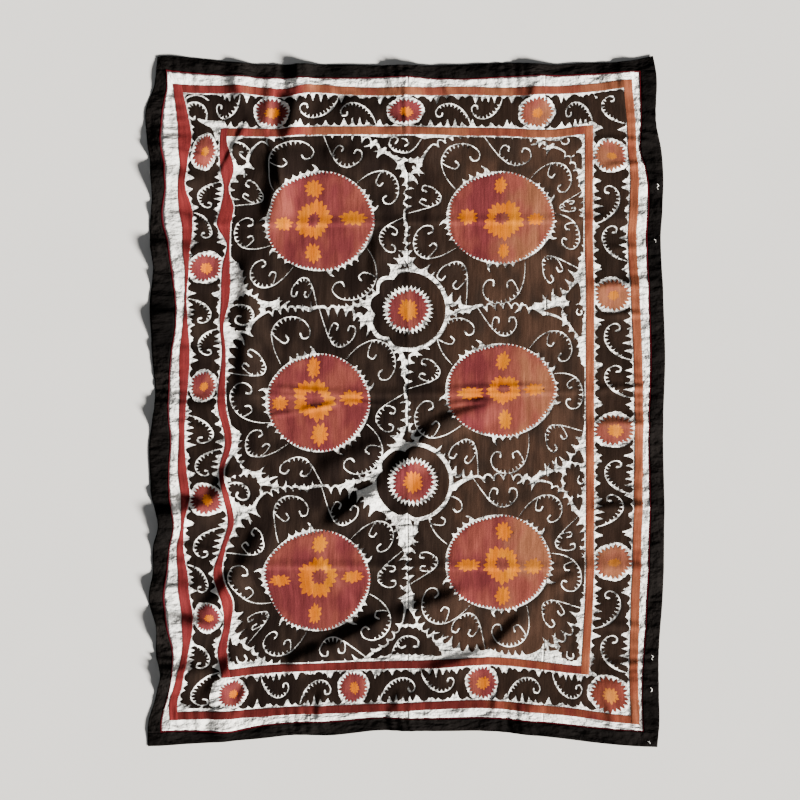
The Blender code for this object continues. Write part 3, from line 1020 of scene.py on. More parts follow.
def centre_rosette(x, y, half_x, half_y, notches):
    """Ring whose radius has a notch at each of the turns given, in degrees, with
    stars of three sizes on it."""
    turns = np.radians(np.arange(0, 360, 1.6))
    reach = np.ones_like(turns)
    deg = np.degrees(turns)
    for at in notches:
        near = (deg - at + 180) % 360 - 180
        reach -= notch(near, [0.0], 0.13, 30.0)
    ring = np.stack([half_x * reach * np.sin(turns), half_y * reach * np.cos(turns)], axis=1)
    art = [("bare", ring * 1.11 + (x, y)), ("brown", ring + (x, y))]
    art.append(("bare", star(x, y, 95, 92, 36, 0.17, 3)))
    art.append(("red", flower(x, y, 77, 76, 28, 0.19, 0, 0.4)))
    art.append(("gold", flower(x, y, 39, 40, 15, 0.32, 2)))
    return art


print("Centre rosettes at", [place[:2] for place in ROSETTES], "mm")

# %% [markdown]
# ## The scrolls of the border
# Round the field runs a band of brown scrolls between two striped frames, with
# a red rosette every half metre or so. A scroll is a hook of bare cloth, turned
# now to one edge and now to the other. The band could be one motif repeated,
# but the real one was stretched and squeezed to fit, so each hook and each
# rosette has its own place in a table, measured along its side of the cloth.

# %% Band sizes
BAND_IN = {"right": 675, "left": 675, "top": 977, "bottom": 977}
BAND_WIDE = 126


def band_place(side):
    """Point of a border band: s runs counter-clockwise round the cloth in mm, and
    t goes across the band from its inner edge (0) to its outer edge (1)."""
    inner = BAND_IN[side]

    def place(s, t):
        """Plan point at s along the side and t across the band."""
        s, t = np.broadcast_arrays(np.asarray(s, float), np.asarray(t, float))
        out = inner + t * BAND_WIDE
        return {"right": np.stack([out, s], axis=-1), "top": np.stack([-s, out], axis=-1),
                "left": np.stack([-out, -s], axis=-1), "bottom": np.stack([s, -out], axis=-1)}[side]

    return place


# Curls along each band, counter-clockwise, mm: tail, end, edge of the tail.
BAND_CURLS = {
    "right": ((-961, -838, "out"), (-816, -686, "in"), (-465, -349, "in"), (-346, -226, "out"),
              (2, 118, "out"), (139, 270, "out"), (497, 620, "out"), (628, 762, "in"), (984, 1080, "out")),
    "top": ((-675, -577, "in"), (-345, -233, "out"), (-230, -103, "in"), (114, 241, "in"),
            (248, 389, "out"), (610, 696, "out")),
    "left": ((-783, -690, "in"), (-671, -581, "out"), (-360, -273, "out"), (-251, -157, "in"),
             (60, 161, "out"), (183, 280, "in"), (465, 570, "in"), (595, 686, "out"),
             (862, 942, "out"), (958, 1082, "in")),
    "bottom": ((-534, -432, "in"), (-389, -277, "out"), (-99, 27, "out"), (49, 168, "in"),
               (364, 490, "out"), (537, 650, "in")),
}
# Rosettes along each band: place in the same measure, half width and half height
# of the red, and of the gold. BAND_RUNS is where the brown starts and ends.
BAND_ROSETTES = {
    "right": ((-586, 62, 59, 24, 15), (-114, 62, 58, 27, 25), (374, 62, 58, 20, 20), (870, 60, 54, 21, 13)),
    "top": ((-470, 62, 55, 21, 19), (7, 63, 51, 26, 21), (494, 62, 55, 31, 23)),
    "left": ((-892, 47, 62, 17, 19), (-472, 61, 52, 24, 21), (-45, 52, 53, 18, 18), (364, 60, 52, 21, 22),
             (772, 50, 47, 20, 14)),
    "bottom": ((-639, 49, 50, 17, 17), (-195, 51, 58, 18, 24), (270, 55, 59, 25, 25), (738, 62, 61, 27, 28)),
}
BAND_RUNS = {"right": (-1000, 1098), "top": (-801, 796), "left": (-1098, 1092), "bottom": (-650, 700)}


print("Border:", sum(len(rows) for rows in BAND_CURLS.values()), "hooks,",
      sum(len(rows) for rows in BAND_ROSETTES.values()), "rosettes")


# %% Bands
# Notches of one hook: share of its length, and depth as a share of the band.
HOOK_NOTCHES = ((0.26, 0.17), (0.46, 0.24), (0.66, 0.20), (0.86, 0.14))
FACING_NOTCHES = ((-0.14, 0.20), (0.34, 0.11), (0.98, 0.19))
HOOK_NOTCH_WIDE = 17.0
FACING_NOTCH_WIDE = 30.0
ROSETTE_NOTCH = (92, 0.20, 26.0)
SMALL_LOBES = 0.11


def band(side):
    """All the shapes of one side of the border. Its brown body is a strip whose two
    edges are cut by deep notches at each hook, wide ones opposite it and beside
    each rosette, and small lobes all the way."""
    place = band_place(side)
    start, end = BAND_RUNS[side]
    cells = BAND_CURLS[side]
    s = np.arange(start, end + 1, 3.0)
    low, low_depth, low_wide = [], [], []
    high, high_depth, high_wide = [], [], []
    for tail, tip, edge in cells:
        wide = tip - tail
        same = (low, low_depth, low_wide) if edge == "in" else (high, high_depth, high_wide)
        other = (high, high_depth, high_wide) if edge == "in" else (low, low_depth, low_wide)
        for part, depth in HOOK_NOTCHES:
            same[0].append(tail + part * wide)
            same[1].append(depth)
            same[2].append(HOOK_NOTCH_WIDE)
        for part, depth in FACING_NOTCHES:
            other[0].append(tail + part * wide)
            other[1].append(depth)
            other[2].append(FACING_NOTCH_WIDE)
    beside, beside_depth, beside_wide = ROSETTE_NOTCH
    for middle, *_ in BAND_ROSETTES[side]:
        for off in (-beside, beside):
            for rows in ((low, low_depth, low_wide), (high, high_depth, high_wide)):
                rows[0].append(middle + off)
                rows[1].append(beside_depth)
                rows[2].append(beside_wide)
    small_low = lobes(s, start, end, int((end - start) / 31), SMALL_LOBES)
    small_high = lobes(s, start, end, int((end - start) / 34), SMALL_LOBES)
    lower = 0.025 + notch(s, low, low_depth, low_wide) + small_low
    upper = 0.975 - notch(s, high, high_depth, high_wide) - small_high
    body = np.vstack([place(s, lower), place(s[::-1], upper[::-1])])
    art = [("dark", body)]
    for tail, tip, edge in cells:
        def cell(u, r, tail=tail, tip=tip):
            """Point of this hook's own cell, u along the band and r across it."""
            return place(tail + u * (tip - tail), 0.04 + 0.92 * np.asarray(r))
        art += [("bare", part) for part in curl(cell, edge == "out", False)]
    for n, (middle, half_x, half_y, gold_x, gold_y) in enumerate(BAND_ROSETTES[side]):
        x, y = place(middle, 0.5)
        rust = side == "bottom" and middle > 600
        art.append(("bare", flower(x, y, half_x + 8, half_y + 7, 24, 0.03, 40 * n, 0.4)))
        art.append(("rust" if rust else "red", flower(x, y, half_x, half_y, 23, 0.23, 5 * n, 0.6)))
        art.append(("gold", flower(x + 3, y - 2, gold_x, gold_y, 12, 0.34, 3 * n)))
    return art


print("Shapes in the bands", [len(band(side)) for side in BAND_CURLS])

# %% [markdown]
# ## What fills the gaps
# No cloth between the medallions is left empty: drops, lobed leaves and small
# round palmettes with a curl of their own are fitted into it. Each was drawn
# for its gap alone, so each is one row of a table.

# %% Fillers
# Drops: x, y, long, wide, turn of the tip.
DROPS = (
    (-9, 470, 52, 36, 0), (0, 172, 62, 40, 180), (4, -134, 62, 38, 0), (30, -446, 60, 36, 180),
    (-172, 316, 70, 46, 90), (180, 330, 84, 42, 270), (-164, -306, 72, 46, 90), (186, -292, 72, 42, 270),
    (9, 833, 44, 40, 190), (1, -792, 62, 54, 0),
    (-616, -250, 80, 56, 345), (-477, 311, 82, 38, 90), (-494, -338, 76, 42, 90),
    (605, 378, 78, 50, 18), (527, 309, 80, 44, 272), (615, 262, 74, 42, 165),
    (523, -295, 90, 58, 272), (617, -214, 50, 42, 8), (617, -378, 52, 34, 172),
    (616, 852, 60, 48, 150), (-640, -866, 44, 26, 0), (524, -888, 72, 42, 242), (612, -830, 52, 34, 200),
)
# Leaves: rows of the spine x, y, half width; lobes on its left and on its right,
# going from the first row to the last, how many and how deep.
LEAVES = (
    (((-470, 934, 3), (-519, 930, 15), (-556, 918, 27), (-594, 894, 40), (-614, 862, 27), (-620, 832, 3)),
     (9, 5), (8, 8)),
    (((457, 938, 3), (490, 928, 14), (521, 927, 9), (552, 912, 26), (594, 908, 38), (622, 908, 24),
      (634, 902, 5)), (0, 0), (11, 9)),
    (((-172, 941, 2), (-122, 928, 12), (-77, 916, 24), (-33, 906, 38), (12, 903, 42), (54, 902, 34),
      (96, 915, 22), (150, 936, 3)), (4, 4), (14, 11)),
    (((-132, -936, 6), (-88, -904, 30), (-41, -880, 46), (3, -876, 52), (48, -886, 46), (88, -908, 28),
      (124, -934, 5)), (16, 10), (9, 8)),
    (((-500, 942, 3), (-530, 936, 10), (-570, 938, 8), (-600, 934, 3)), (3, 3), (3, 3)),
)
# Round palmettes: x, y, half sizes, points, depth, turn.
PALMETTES = (
    (-582, 312, 58, 66, 15, 0.15, 8), (-566, 268, 62, 34, 9, 0.30, 0),
    (-588, -334, 56, 60, 15, 0.19, 0), (-556, -318, 30, 46, 8, 0.22, 20),
    (-598, -900, 50, 38, 12, 0.26, 10), (-556, -906, 26, 26, 7, 0.28, 0),
    (594, -882, 40, 54, 11, 0.30, 0), (606, -906, 34, 30, 9, 0.16, 0),
    (600, 314, 38, 44, 5, 0.42, 30), (612, 308, 30, 28, 7, 0.18, 0),
    (602, -300, 40, 68, 10, 0.28, 10), (614, -292, 30, 34, 9, 0.14, 0),
)
# White curls in them: x, y, width; and on which side of each its teeth stand.
FILLER_CURLS = (
    (((-626, 924, 4), (-594, 922, 5), (-570, 895, 5.5), (-580, 866, 6), (-603, 870, 6.5), (-610, 888, 7),
      (-598, 891, 7.5)), -1),
    (((557, 936, 4), (565, 922, 5.5), (580, 919, 6), (589, 929, 6), (584, 938, 6)), 0),
    (((-61, 934, 3.5), (-65, 912, 5), (-50, 894, 5.5), (-26, 886, 5.5), (4, 885, 5.5), (24, 898, 5),
      (50, 930, 4)), 1),
    (((-61, 934, 4), (-46, 940, 5), (-34, 930, 6), (-42, 918, 7)), 0),
    (((-20, 934, 4), (-4, 930, 5), (4, 916, 6), (-8, 908, 7)), 0),
    (((-64, -936, 3), (-47, -899, 4.5), (-30, -871, 5.5), (-8, -860, 5.5), (20, -863, 5.5), (40, -879, 6),
      (37, -898, 7), (24, -898, 8)), -1),
    (((-33, -874, 4), (-34, -890, 5), (-22, -902, 6.5), (-6, -896, 7.5)), 0),
    (((-640, 325, 4), (-626, 335, 5), (-592, 337, 5.5), (-560, 323, 5.5), (-546, 296, 6), (-560, 270, 6),
      (-588, 266, 6), (-606, 280, 6.5), (-602, 298, 7), (-590, 296, 7.5)), -1),
    (((-642, -312, 4), (-608, -304, 5.5), (-580, -315, 5.5), (-571, -338, 6), (-583, -363, 6),
      (-605, -367, 6.5), (-620, -352, 7), (-612, -340, 7.5)), -1),
    (((-613, -908, 5), (-609, -926, 6), (-592, -932, 6), (-578, -920, 6.5), (-584, -907, 7)), 0),
    (((590, -902, 4), (591, -920, 6), (604, -927, 7), (616, -919, 7), (613, -909, 7)), 0),
    (((617, 324, 4), (612, 311, 5.5), (621, 302, 6), (632, 308, 6.5), (629, 317, 7)), 0),
    (((622, -280, 4), (616, -297, 5.5), (627, -309, 6), (639, -302, 6.5), (635, -292, 7)), 0),
)


def fillers():
    """Leaves, palmettes and drops that fill the cloth between rings, middle by middle."""
    art = [("brown", leaf(*row)) for row in LEAVES]
    art += [("brown", star(x, y, half_x, half_y, points, depth, turn, 0.55, 8))
            for x, y, half_x, half_y, points, depth, turn in PALMETTES]
    for rows, side in FILLER_CURLS:
        art.append(("bare", stroke(rows)))
        if side:
            art += [("bare", tooth) for tooth in teeth_on(rows, 0.12, 0.62, side, 11, 15, 9)]
    art += [("brown", drop(*row)) for row in DROPS]
    return art


print("Fillers:", len(DROPS), "drops,", len(LEAVES), "leaves,", len(PALMETTES), "palmettes")

# %% [markdown]
# ## The corners of the border
# The four bands were worked one by one and don't quite meet. At the top left
# the scroll turns the corner in a curl of its own, and elsewhere a tongue of
# bare cloth parts one band from the next.

# %% Corners
TURN_CURL = ((-736, 1000, 7), (-732, 1036, 6), (-744, 1060, 5.5), (-766, 1070, 5.5), (-790, 1063, 5.5),
             (-800, 1040, 6), (-795, 1014, 7), (-780, 1008, 8), (-776, 1018, 8))
TURN_SWEEP = ((-806, 1060, 5), (-792, 1084, 6), (-764, 1096, 6), (-740, 1092, 6), (-722, 1078, 4))
# Bare cloth between the end of the top band and the neck of the left band, and
# the same on the other corners: the bands never quite join.
BARE_TURNS = (
    ((-764, 1008, 8), (-740, 998, 16), (-700, 990, 30), (-668, 984, 40)),
    ((-700, 984, 30), (-692, 960, 22), (-688, 936, 12)),
    ((668, 985, 20), (690, 972, 14), (712, 966, 4)),
    ((808, 974, 22), (790, 966, 12), (774, 964, 4)),
    ((-690, -1000, 30), (-700, -1040, 22), (-696, -1080, 30)),
    ((-800, -1098, 26), (-780, -1092, 12), (-764, -1080, 4)),
    ((-752, -1106, 24), (-738, -1096, 10), (-730, -1084, 3)),
    ((770, -1100, 30), (802, -1080, 34), (806, -1040, 20)),
)


def corners():
    """The turns of the bands: at the top left a curl that opens down, with a white
    sweep round it that parts off a thin leaf, and bare cloth on every corner."""
    art = [("bare", stroke(TURN_CURL)), ("bare", stroke(TURN_SWEEP))]
    art += [("bare", stroke(rows)) for rows in BARE_TURNS]
    art += [("bare", tooth) for tooth in teeth_on(TURN_CURL, 0.15, 0.75, 1, 12, 16, 10)]
    return art


print("Corners:", len(corners()), "bare shapes")

# %% [markdown]
# ## The whole drawing
# The motifs are now put together in the order of sewing, later ones on top of
# earlier ones. Each shape gets the name of its group, so that the stitching
# can make one piece of each colour of each group.

# %% Whole drawing
def labelled(art, group):
    """The shapes of one motif with its name added to each paint."""
    return [(paint if paint == "bare" else group + "_" + paint, outline) for paint, outline in art]


def field_drawing():
    """All that is worked inside the inner frame: fillers first, then the rings and
    rosettes with a bare margin round each, and bare cloth over what lies outside."""
    art = labelled(fillers(), "fillers")
    for name in MEDALLIONS:
        art += labelled(medallion(name), "medallion_" + name)
    for n, sizes in enumerate(ROSETTES):
        art += labelled(centre_rosette(*sizes, ROSETTE_LOBES[n]), "rosette_" + "ab"[n])
    outside = (
        # from x, to x, from y, to y
        (-900, -641, 1200, -1200),
        (641, 900, 1200, -1200),
        (-900, 900, 1200, 943),
        (-900, 900, -943, -1200),
    )
    for out_x, in_x, out_y, in_y in outside:
        art.append(("bare", np.array([(out_x, out_y), (out_x, in_y), (in_x, in_y), (in_x, out_y)], float)))
    return art


def border_drawing():
    """All four bands and the turns at their corners."""
    art = []
    for side in BAND_CURLS:
        art += labelled(band(side)[:1], "bands")
    art += corners()
    for side in BAND_CURLS:
        art += labelled(band(side)[1:], "bands")
    return art


print("Shapes in all", len(field_drawing()) + len(border_drawing()))


# %% [markdown]
# ## From a drawing to raised stitching
# Each group of shapes is a drawing in layers: brown bodies, white lines left
# bare on them, red discs, gold flowers. The real work is one thickness of
# thread, so the layers must become one sheet with no overlaps. A constrained
# triangulation does that: every outline becomes an edge of the triangles, and
# each triangle takes the colour of the topmost shape round its middle. The
# middle of a field stands higher than its edges, which go down into the cloth.

# %% Filling a drawing
LATTICE = 6.5
EDGE_LIFT = 0.30 * MM
JOINT_LIFT = 0.78 * MM
FIELD_LIFT = 0.90 * MM
TUCK = 1.2 * MM


def inside(points, outline):
    """Whether each point is inside an outline: the outline goes round it a number
    of turns that isn't nought, counted where its edges cross the point's height."""
    low, high = outline.min(axis=0), outline.max(axis=0)
    result = np.zeros(len(points), dtype=bool)
    near = np.flatnonzero(np.all((points >= low) & (points <= high), axis=1))
    start, end = outline, np.roll(outline, -1, axis=0)
    for part in np.array_split(near, max(1, len(near) * len(outline) // 4_000_000 + 1)):
        x, y = points[part, 0][:, None], points[part, 1][:, None]
        ahead = end - start
        left = ahead[:, 0] * (y - start[:, 1]) - (x - start[:, 0]) * ahead[:, 1]
        up = (start[:, 1] <= y) & (end[:, 1] > y) & (left > 0)
        down = (start[:, 1] > y) & (end[:, 1] <= y) & (left < 0)
        result[part] = up.sum(axis=1) != down.sum(axis=1)
    return result


def lattice_points(corners):
    """Points of a square lattice over the drawing, except those too near an outline's corner."""
    low = np.floor(corners.min(axis=0) / LATTICE) * LATTICE
    high = corners.max(axis=0)
    x, y = np.meshgrid(np.arange(low[0], high[0], LATTICE), np.arange(low[1], high[1], LATTICE))
    points = np.stack([x.ravel() + LATTICE / 2, y.ravel() + LATTICE / 2], axis=1)
    cell = LATTICE / 2
    cells = np.rint((corners - low) / cell).astype(int)
    taken = np.zeros(cells.max(axis=0) + 4, dtype=bool)
    taken[cells[:, 0], cells[:, 1]] = True
    own = np.clip(np.rint((points - low) / cell).astype(int), 0, np.array(taken.shape) - 1)
    return points[~taken[own[:, 0], own[:, 1]]]


def finely(outline):
    """The same outline with points added on its long edges, none longer than the
    lattice, so that a straight edge follows the folds of the cloth under it."""
    ahead = np.roll(outline, -1, axis=0) - outline
    count = np.maximum(np.ceil(np.hypot(ahead[:, 0], ahead[:, 1]) / LATTICE).astype(int), 1)
    corner = np.repeat(np.arange(len(outline)), count)
    part = (np.arange(len(corner)) - np.repeat(np.cumsum(count) - count, count)) / count[corner]
    return outline[corner] + ahead[corner] * part[:, None]


def triangles_of(art):
    """Triangles of a layered drawing: points (mm), triangles, and for each
    triangle the name of the paint on top of it."""
    outlines = [finely(outline) for _, outline in art]
    counts = np.array([len(outline) for outline in outlines])
    first = np.concatenate([[0], np.cumsum(counts)[:-1]])
    corners = np.vstack(outlines)
    number = np.arange(len(corners))
    after = number + 1
    after[first + counts - 1] = first
    points = np.vstack([corners, lattice_points(corners)])
    corners_in = [Vector(p) for p in points.tolist()]
    edges_in = np.stack([number, after], axis=1).tolist()
    result = delaunay_2d_cdt(corners_in, edges_in, [], 0, 1e-3, False)
    points = np.array([tuple(v) for v in result[0]])
    faces = np.array(result[2])
    middle = points[faces].mean(axis=1)
    paint = np.full(len(faces), "bare", dtype="<U40")
    for name, outline in art:
        paint[inside(middle, outline)] = name
    a, b, c = (points[faces[:, k]] for k in range(3))
    ab, ac = b - a, c - a
    turned_over = ab[:, 0] * ac[:, 1] - ab[:, 1] * ac[:, 0] < 0
    faces[turned_over] = faces[turned_over][:, ::-1]
    return points, faces, paint


def keep_crisp(mesh, pairs):
    """Mark the edges between pairs of points as sharp, so that the top keeps the
    shading of the cloth right up to its rim."""
    ends = np.empty(2 * len(mesh.edges), dtype=np.int32)
    mesh.edges.foreach_get("vertices", ends)
    weight = (len(mesh.vertices), 1)
    own = np.sort(ends.reshape(-1, 2), axis=1) @ weight
    mesh.edges.foreach_set("use_edge_sharp", np.isin(own, np.sort(pairs, axis=1) @ weight))


def stitch(name, points, faces, material, slot, open_edge=None):
    """Raised field of stitches from flat triangles in plan millimetres. Its height is
    FIELD_LIFT inside, EDGE_LIFT on the rim that meets bare cloth, JOINT_LIFT where it
    meets another colour, and a skirt goes down from the rim into the cloth."""
    used, faces = np.unique(faces, return_inverse=True)
    faces = faces.reshape(-1, 3)
    plan = points[used] * MM
    edges = faces[:, [0, 1, 1, 2, 2, 0]].reshape(-1, 2)
    keys = np.sort(edges, axis=1)
    _, where, times = np.unique(keys, axis=0, return_inverse=True, return_counts=True)
    rim = edges[times[where.ravel()] == 1]
    raised = np.full(len(plan), FIELD_LIFT)
    rim_of_field = np.unique(rim)
    raised[rim_of_field] = EDGE_LIFT
    if open_edge is not None:
        raised[rim_of_field] = np.where(open_edge[used[rim_of_field]], EDGE_LIFT, JOINT_LIFT)
    top = on_floor(plan[:, 0], plan[:, 1], GROUND_THICK + raised)
    rim_points, rim_number = np.unique(rim, return_inverse=True)
    rim_number = rim_number.reshape(-1, 2) + len(plan)
    foot = top[rim_points].copy()
    foot[:, 2] -= raised[rim_points] + TUCK
    skirt = np.concatenate([np.column_stack([rim[:, 1], rim[:, 0], rim_number[:, 0]]),
                            np.column_stack([rim[:, 1], rim_number[:, 0], rim_number[:, 1]])])
    all_plan = np.vstack([plan, plan[rim_points]])
    piece = make_piece(name, np.vstack([top, foot]), np.vstack([faces, skirt]), all_plan, material, slot)
    keep_crisp(piece.data, rim)
    return piece


def work_drawing(art, paints):
    """Every colour of every motif of a drawing as its own raised piece. The end of
    a label, after its last underscore, names the paint."""
    points, faces, paint = triangles_of(art)
    open_edge = np.zeros(len(points), dtype=bool)
    open_edge[np.unique(faces[paint == "bare"])] = True
    for label in sorted(set(paint) - {"bare"}):
        material, slot = paints[label.rsplit("_", 1)[1]]
        piece = stitch(label, points, faces[paint == label], material, slot, open_edge)
        print(label, len(piece.data.polygons), "triangles")


# %% [markdown]
# ## Silk in brown, red and gold
# The brown is nearly black on the left and lighter brown on the right half of
# the cloth, and the madder red goes orange there: partly other dye lots, partly
# painted sheen where the threads face the low lamp from the right. So each colour
# is a pair, mixed across the cloth with a ragged border between the two. Fine ribs,
# streaks along the thread and slanted ticks come on top.

# %% Silk
def silk(name, near, far, lot, turns_at, soft, ragged=0.10, streaks=0.16, upright=True):
    """Couched silk: colour near on the left and far on the right of the plan line
    turns_at, mixed over a width soft, both in metres, with patches of a third dye
    lot. For the brown, dark and madder silks and the top and bottom stripes, the
    lighter far colour is partly painted sheen. streaks is how uneven the tone is,
    and upright threads run along the cloth."""
    material = new_material(name, near, 0.66)
    coordinates = add(material, "ShaderNodeTexCoord")
    axes = add(material, "ShaderNodeSeparateXYZ")
    link(material, coordinates.outputs["UV"], axes.inputs["Vector"])
    patches = noise(material, (6.0, 3.0, 1.0), 3.0)
    shift = figure(material, "MULTIPLY", figure(material, "SUBTRACT", patches, 0.5), 6 * ragged)
    place = figure(material, "ADD", axes.outputs["X"], shift)
    share = spread(material, place, turns_at - soft, turns_at + soft, 0.0, 1.0)
    lots = spread(material, noise(material, (9.0, 5.0, 1.0), 2.0), 0.40, 0.66, 0.0, 1.0)
    colour = blend_colours(material, share, near, far)
    colour = blend_colours(material, lots, colour, lot)
    fine, coarse = (190.0, 9.0, 1.0), (38.0, 5.0, 1.0)
    if not upright:
        fine, coarse = (9.0, 190.0, 1.0), (5.0, 38.0, 1.0)
    low, high = 1.0 - streaks, 1.0 + streaks
    colour = shade(material, colour, spread(material, noise(material, fine, 3.0), 0.3, 0.7, low, high))
    colour = shade(material, colour, spread(material, noise(material, coarse, 2.0), 0.3, 0.7, low, high))
    slanted = noise(material, (420.0, 260.0, 1.0), 2.0, turn=0.6)
    tick = spread(material, slanted, 0.35, 0.65, low, high)
    colour = shade(material, colour, tick)
    set_colour(material, colour)
    ribs = bands(material, 0.0026, upright)
    bumps = noise(material, (300.0, 200.0, 1.0), 2.0, turn=0.6)
    slack = noise(material, (45.0, 20.0, 1.0), 2.0)
    relief(material, ((ribs, 0.35, 0.0004), (bumps, 0.5, 0.0006), (slack, 0.5, 0.0025)))
    return material


# Brown, dark and madder are lighter and more orange right of turns_at: partly other dye lots, partly painted
# sheen on the half that faces the lamp.
brown = silk("brown_silk",
             (0.0083, 0.0055, 0.0046), (0.0400, 0.0215, 0.0145), (0.0180, 0.0115, 0.0088),
             0.16, 0.22)
madder = silk("madder_silk",
              (0.0940, 0.0185, 0.0200), (0.183, 0.067, 0.035), (0.150, 0.037, 0.028),
              0.36, 0.05, ragged=0.05)
gold = silk("gold_silk",
            (0.370, 0.087, 0.0016), (0.255, 0.084, 0.0170), (0.385, 0.116, 0.0032),
            0.45, 0.07)
dark = silk("dark_silk",
            (0.0083, 0.0055, 0.0046), (0.0175, 0.0105, 0.0078), (0.0120, 0.0078, 0.0060),
            0.20, 0.30)
rust = silk("rust_silk",
            (0.104, 0.022, 0.016), (0.115, 0.029, 0.019), (0.085, 0.016, 0.014),
            0.70, 0.10)
PAINTS = {
    "brown": (brown, "brown_thread"), "dark": (dark, "brown_thread"),
    "red": (madder, "red_thread"), "rust": (rust, "red_thread"), "gold": (gold, "gold_thread"),
}

# %% [markdown]
# ## Working the drawings
# A suzani was sewn loom width by loom width, by several hands, and joined at the
# end. Here the border and the field are worked one after the other, and each
# group of motifs keeps one piece for each colour: six medallions, two rosettes,
# the fillers, and the scrolls of the border, which run into each other.

# %% Stitching
work_drawing(border_drawing(), PAINTS)
work_drawing(field_drawing(), PAINTS)

# %% [markdown]
# ## Loose threads
# A few white basting threads are still caught in the black border on the right.
# Each is a thin bent line, drawn and raised like the stitches.

# %% Loose threads
THREADS = (
    ((902, 770, 1.4), (907, 764, 1.7), (901, 757, 1.7), (905, 751, 1.4)),
    ((897, 574, 1.4), (905, 570, 1.7), (903, 562, 1.4)),
    ((899, -897, 1.4), (905, -902, 1.7), (900, -908, 1.7), (903, -913, 1.4)),
    ((897, -1005, 1.4), (903, -1011, 1.7), (899, -1018, 1.4)),
    ((885, -1205, 1.4), (893, -1208, 1.7), (895, -1214, 1.4)),
)
threads = [("loose_threads_white", stroke(rows)) for rows in THREADS]
work_drawing(threads, {"white": (cream, "ground_cotton")})

# %% [markdown]
# ## The two striped frames
# Two bands of couching frame the border scrolls. They are crimson on the left and
# orange on the right, with the change at another place on the top than on the
# bottom: partly other dye lots, partly painted sheen on the side that faces the
# lamp, and on the top, left of the fold at the top left, painted shade. Each side
# is a straight strip of plan.

# %% Stripes
STRIPE_LINES = ((0.832, 0.801, 1.1325, 1.1035), (0.675, 0.646, 0.977, 0.948))
# The orange of the right stripes and the changes at -0.37 m on the top and 0.28 m on the bottom are partly
# dye lot, partly painted sheen on the lit side; the dark left part of the top is partly painted shade beside
# the fold there.
crimson_left = silk("stripe_left_silk",
                    (0.108, 0.0150, 0.0150), (0.125, 0.0175, 0.0165), (0.090, 0.0132, 0.0142),
                    0.0, 0.2)
orange_right = silk("stripe_right_silk",
                    (0.175, 0.052, 0.026), (0.190, 0.058, 0.029), (0.137, 0.036, 0.0195),
                    0.0, 0.2, streaks=0.2)
top_red = silk("stripe_top_silk",
               (0.095, 0.0158, 0.0142), (0.148, 0.050, 0.026), (0.106, 0.0270, 0.0170),
               -0.37, 0.03, ragged=0.02)
bottom_red = silk("stripe_bottom_silk",
                  (0.059, 0.0102, 0.0094), (0.118, 0.031, 0.017), (0.068, 0.0116, 0.0102),
                  0.28, 0.10)


def stripe(name, low, high, material):
    """Straight strip of stitching between two corners of the plan, on a grid of
    LATTICE steps along it and half steps across, with its rim low and its middle high."""
    u = lines_between(low[0], high[0], 0.5 * LATTICE * MM)
    v = lines_between(low[1], high[1], 0.5 * LATTICE * MM)
    if len(u) > len(v):
        u = lines_between(low[0], high[0], LATTICE * MM)
    else:
        v = lines_between(low[1], high[1], LATTICE * MM)
    x, y = np.meshgrid(u, v)
    points = np.stack([x.ravel(), y.ravel()], axis=1) / MM
    quads = grid_faces(len(u), len(v))
    triangles = np.vstack([quads[:, [0, 1, 2]], quads[:, [0, 2, 3]]])
    return stitch(name, points, triangles, material, "red_thread")


for ring, (out_x, in_x, out_y, in_y) in zip(("outer", "inner"), STRIPE_LINES):
    stripe(ring + "_stripe_left", (-out_x, -out_y), (-in_x, out_y), crimson_left)
    stripe(ring + "_stripe_right", (in_x, -out_y), (out_x, out_y), orange_right)
    stripe(ring + "_stripe_top", (-in_x, in_y), (in_x, out_y), top_red)
    stripe(ring + "_stripe_bottom", (-in_x, -out_y), (in_x, -in_y), bottom_red)
print("Stripes: 2 frames of 4")

# %% [markdown]
# ## Floor, light and camera
# The cloth was photographed from straight above, lit low from the lower right,
# so that every fold has a bright side and a dark one. A broad key lamp far off,
# like a low sun behind thin cloud, gives that, and a weak lamp above and a pale
# room fill the shadows. The camera keeps the frame of the photograph, which is
# 800 pixels wide and high, each 3.618 mm of cloth.

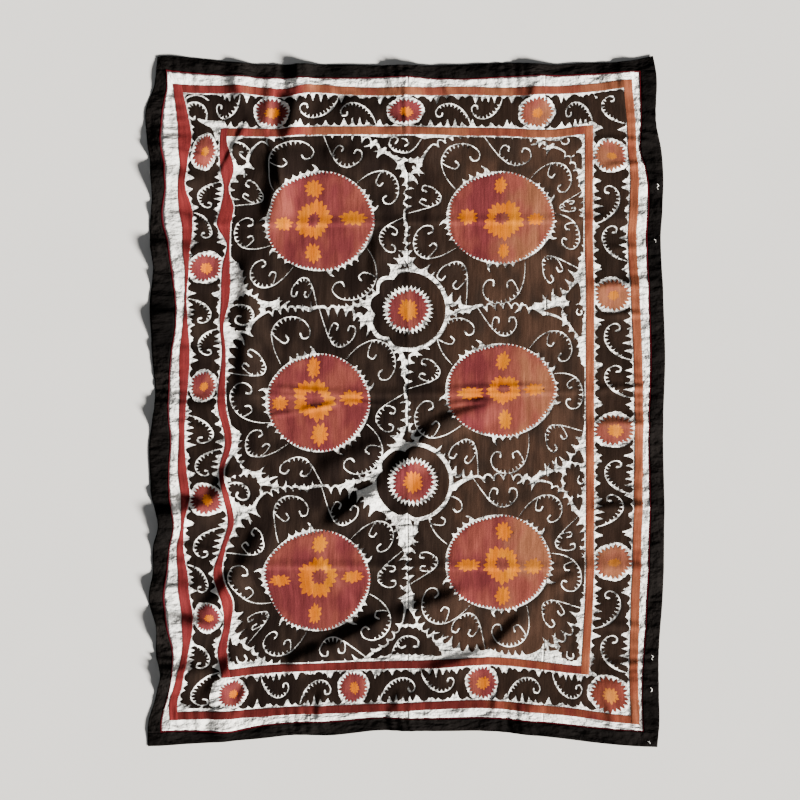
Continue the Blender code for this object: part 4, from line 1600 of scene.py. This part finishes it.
# %% Floor
FLOOR_COLOUR = (0.62, 0.61, 0.59)
FLOOR_HALF = 25.0
FLOOR_DROP = 0.0006
floor_material = new_material("pale_floor", FLOOR_COLOUR, 0.9)
floor_patches = noise(floor_material, (2.0, 2.0, 1.0), 2.0)
floor_tone = spread(floor_material, floor_patches, 0.3, 0.7, 0.99, 1.01)
set_colour(floor_material, shade(floor_material, FLOOR_COLOUR, floor_tone))
corner = np.array([-FLOOR_HALF, FLOOR_HALF])
u, v = np.meshgrid(corner, corner)
floor_plan = np.stack([u.ravel(), v.ravel()], axis=1)
floor_points = np.column_stack([floor_plan, np.full(4, -FLOOR_DROP)])
floor = make_piece("floor", floor_points, grid_faces(2, 2), floor_plan, floor_material)
print("Floor", 2 * FLOOR_HALF, "m wide")

# %% Lights
def lamp(name, place, size, power, colour):
    """Square lamp of a size in metres, turned to look at the middle of the cloth."""
    data = bpy.data.lights.new(name, "AREA")
    data.shape = "SQUARE"
    data.size = size
    data.energy = power
    data.color = colour
    item = bpy.data.objects.new(name, data)
    item.location = place
    item.rotation_euler = (-Vector(place)).to_track_quat("-Z", "Y").to_euler()
    bpy.context.scene.collection.objects.link(item)
    return item


KEY_FROM = Vector((0.85, -0.53, 0.36))
KEY_POWER = 25.5
KEY_SPREAD = 0.22
ROOM_POWER = 0.14
sun_data = bpy.data.lights.new("key_lamp", "SUN")
sun_data.energy = KEY_POWER
sun_data.angle = KEY_SPREAD
sun_data.color = (1.0, 0.965, 0.91)
sun = bpy.data.objects.new("key_lamp", sun_data)
sun.rotation_euler = (-KEY_FROM).to_track_quat("-Z", "Y").to_euler()
sun.location = KEY_FROM * 6
bpy.context.scene.collection.objects.link(sun)
lamp("fill_lamp", (-3.0, 2.5, 6.0), 4.0, 22, (0.93, 0.96, 1.0))
world = bpy.data.worlds.new("room")
world.use_nodes = True
world.node_tree.nodes["Background"].inputs["Color"].default_value = (0.95, 0.97, 1.0, 1.0)
world.node_tree.nodes["Background"].inputs["Strength"].default_value = ROOM_POWER
bpy.context.scene.world = world
print("Key lamp", round(np.degrees(np.arcsin(KEY_FROM.normalized().z)), 1), "degrees above the floor")

# %% Camera
PIXEL = 3.618 * MM
FRAME_PIXELS = 800
CAMERA_HEIGHT = 5.2
camera_data = bpy.data.cameras.new("camera")
camera_data.sensor_width = 36.0
camera_data.lens = 36.0 * CAMERA_HEIGHT / (FRAME_PIXELS * PIXEL)
camera_data.clip_end = 60.0
camera = bpy.data.objects.new("camera", camera_data)
camera.location = Vector((-7.5 * PIXEL, -1.5 * PIXEL, CAMERA_HEIGHT)) - Vector(MIDDLE)
bpy.context.scene.collection.objects.link(camera)
bpy.context.scene.camera = camera
print("Camera lens", round(camera_data.lens, 1), "mm")
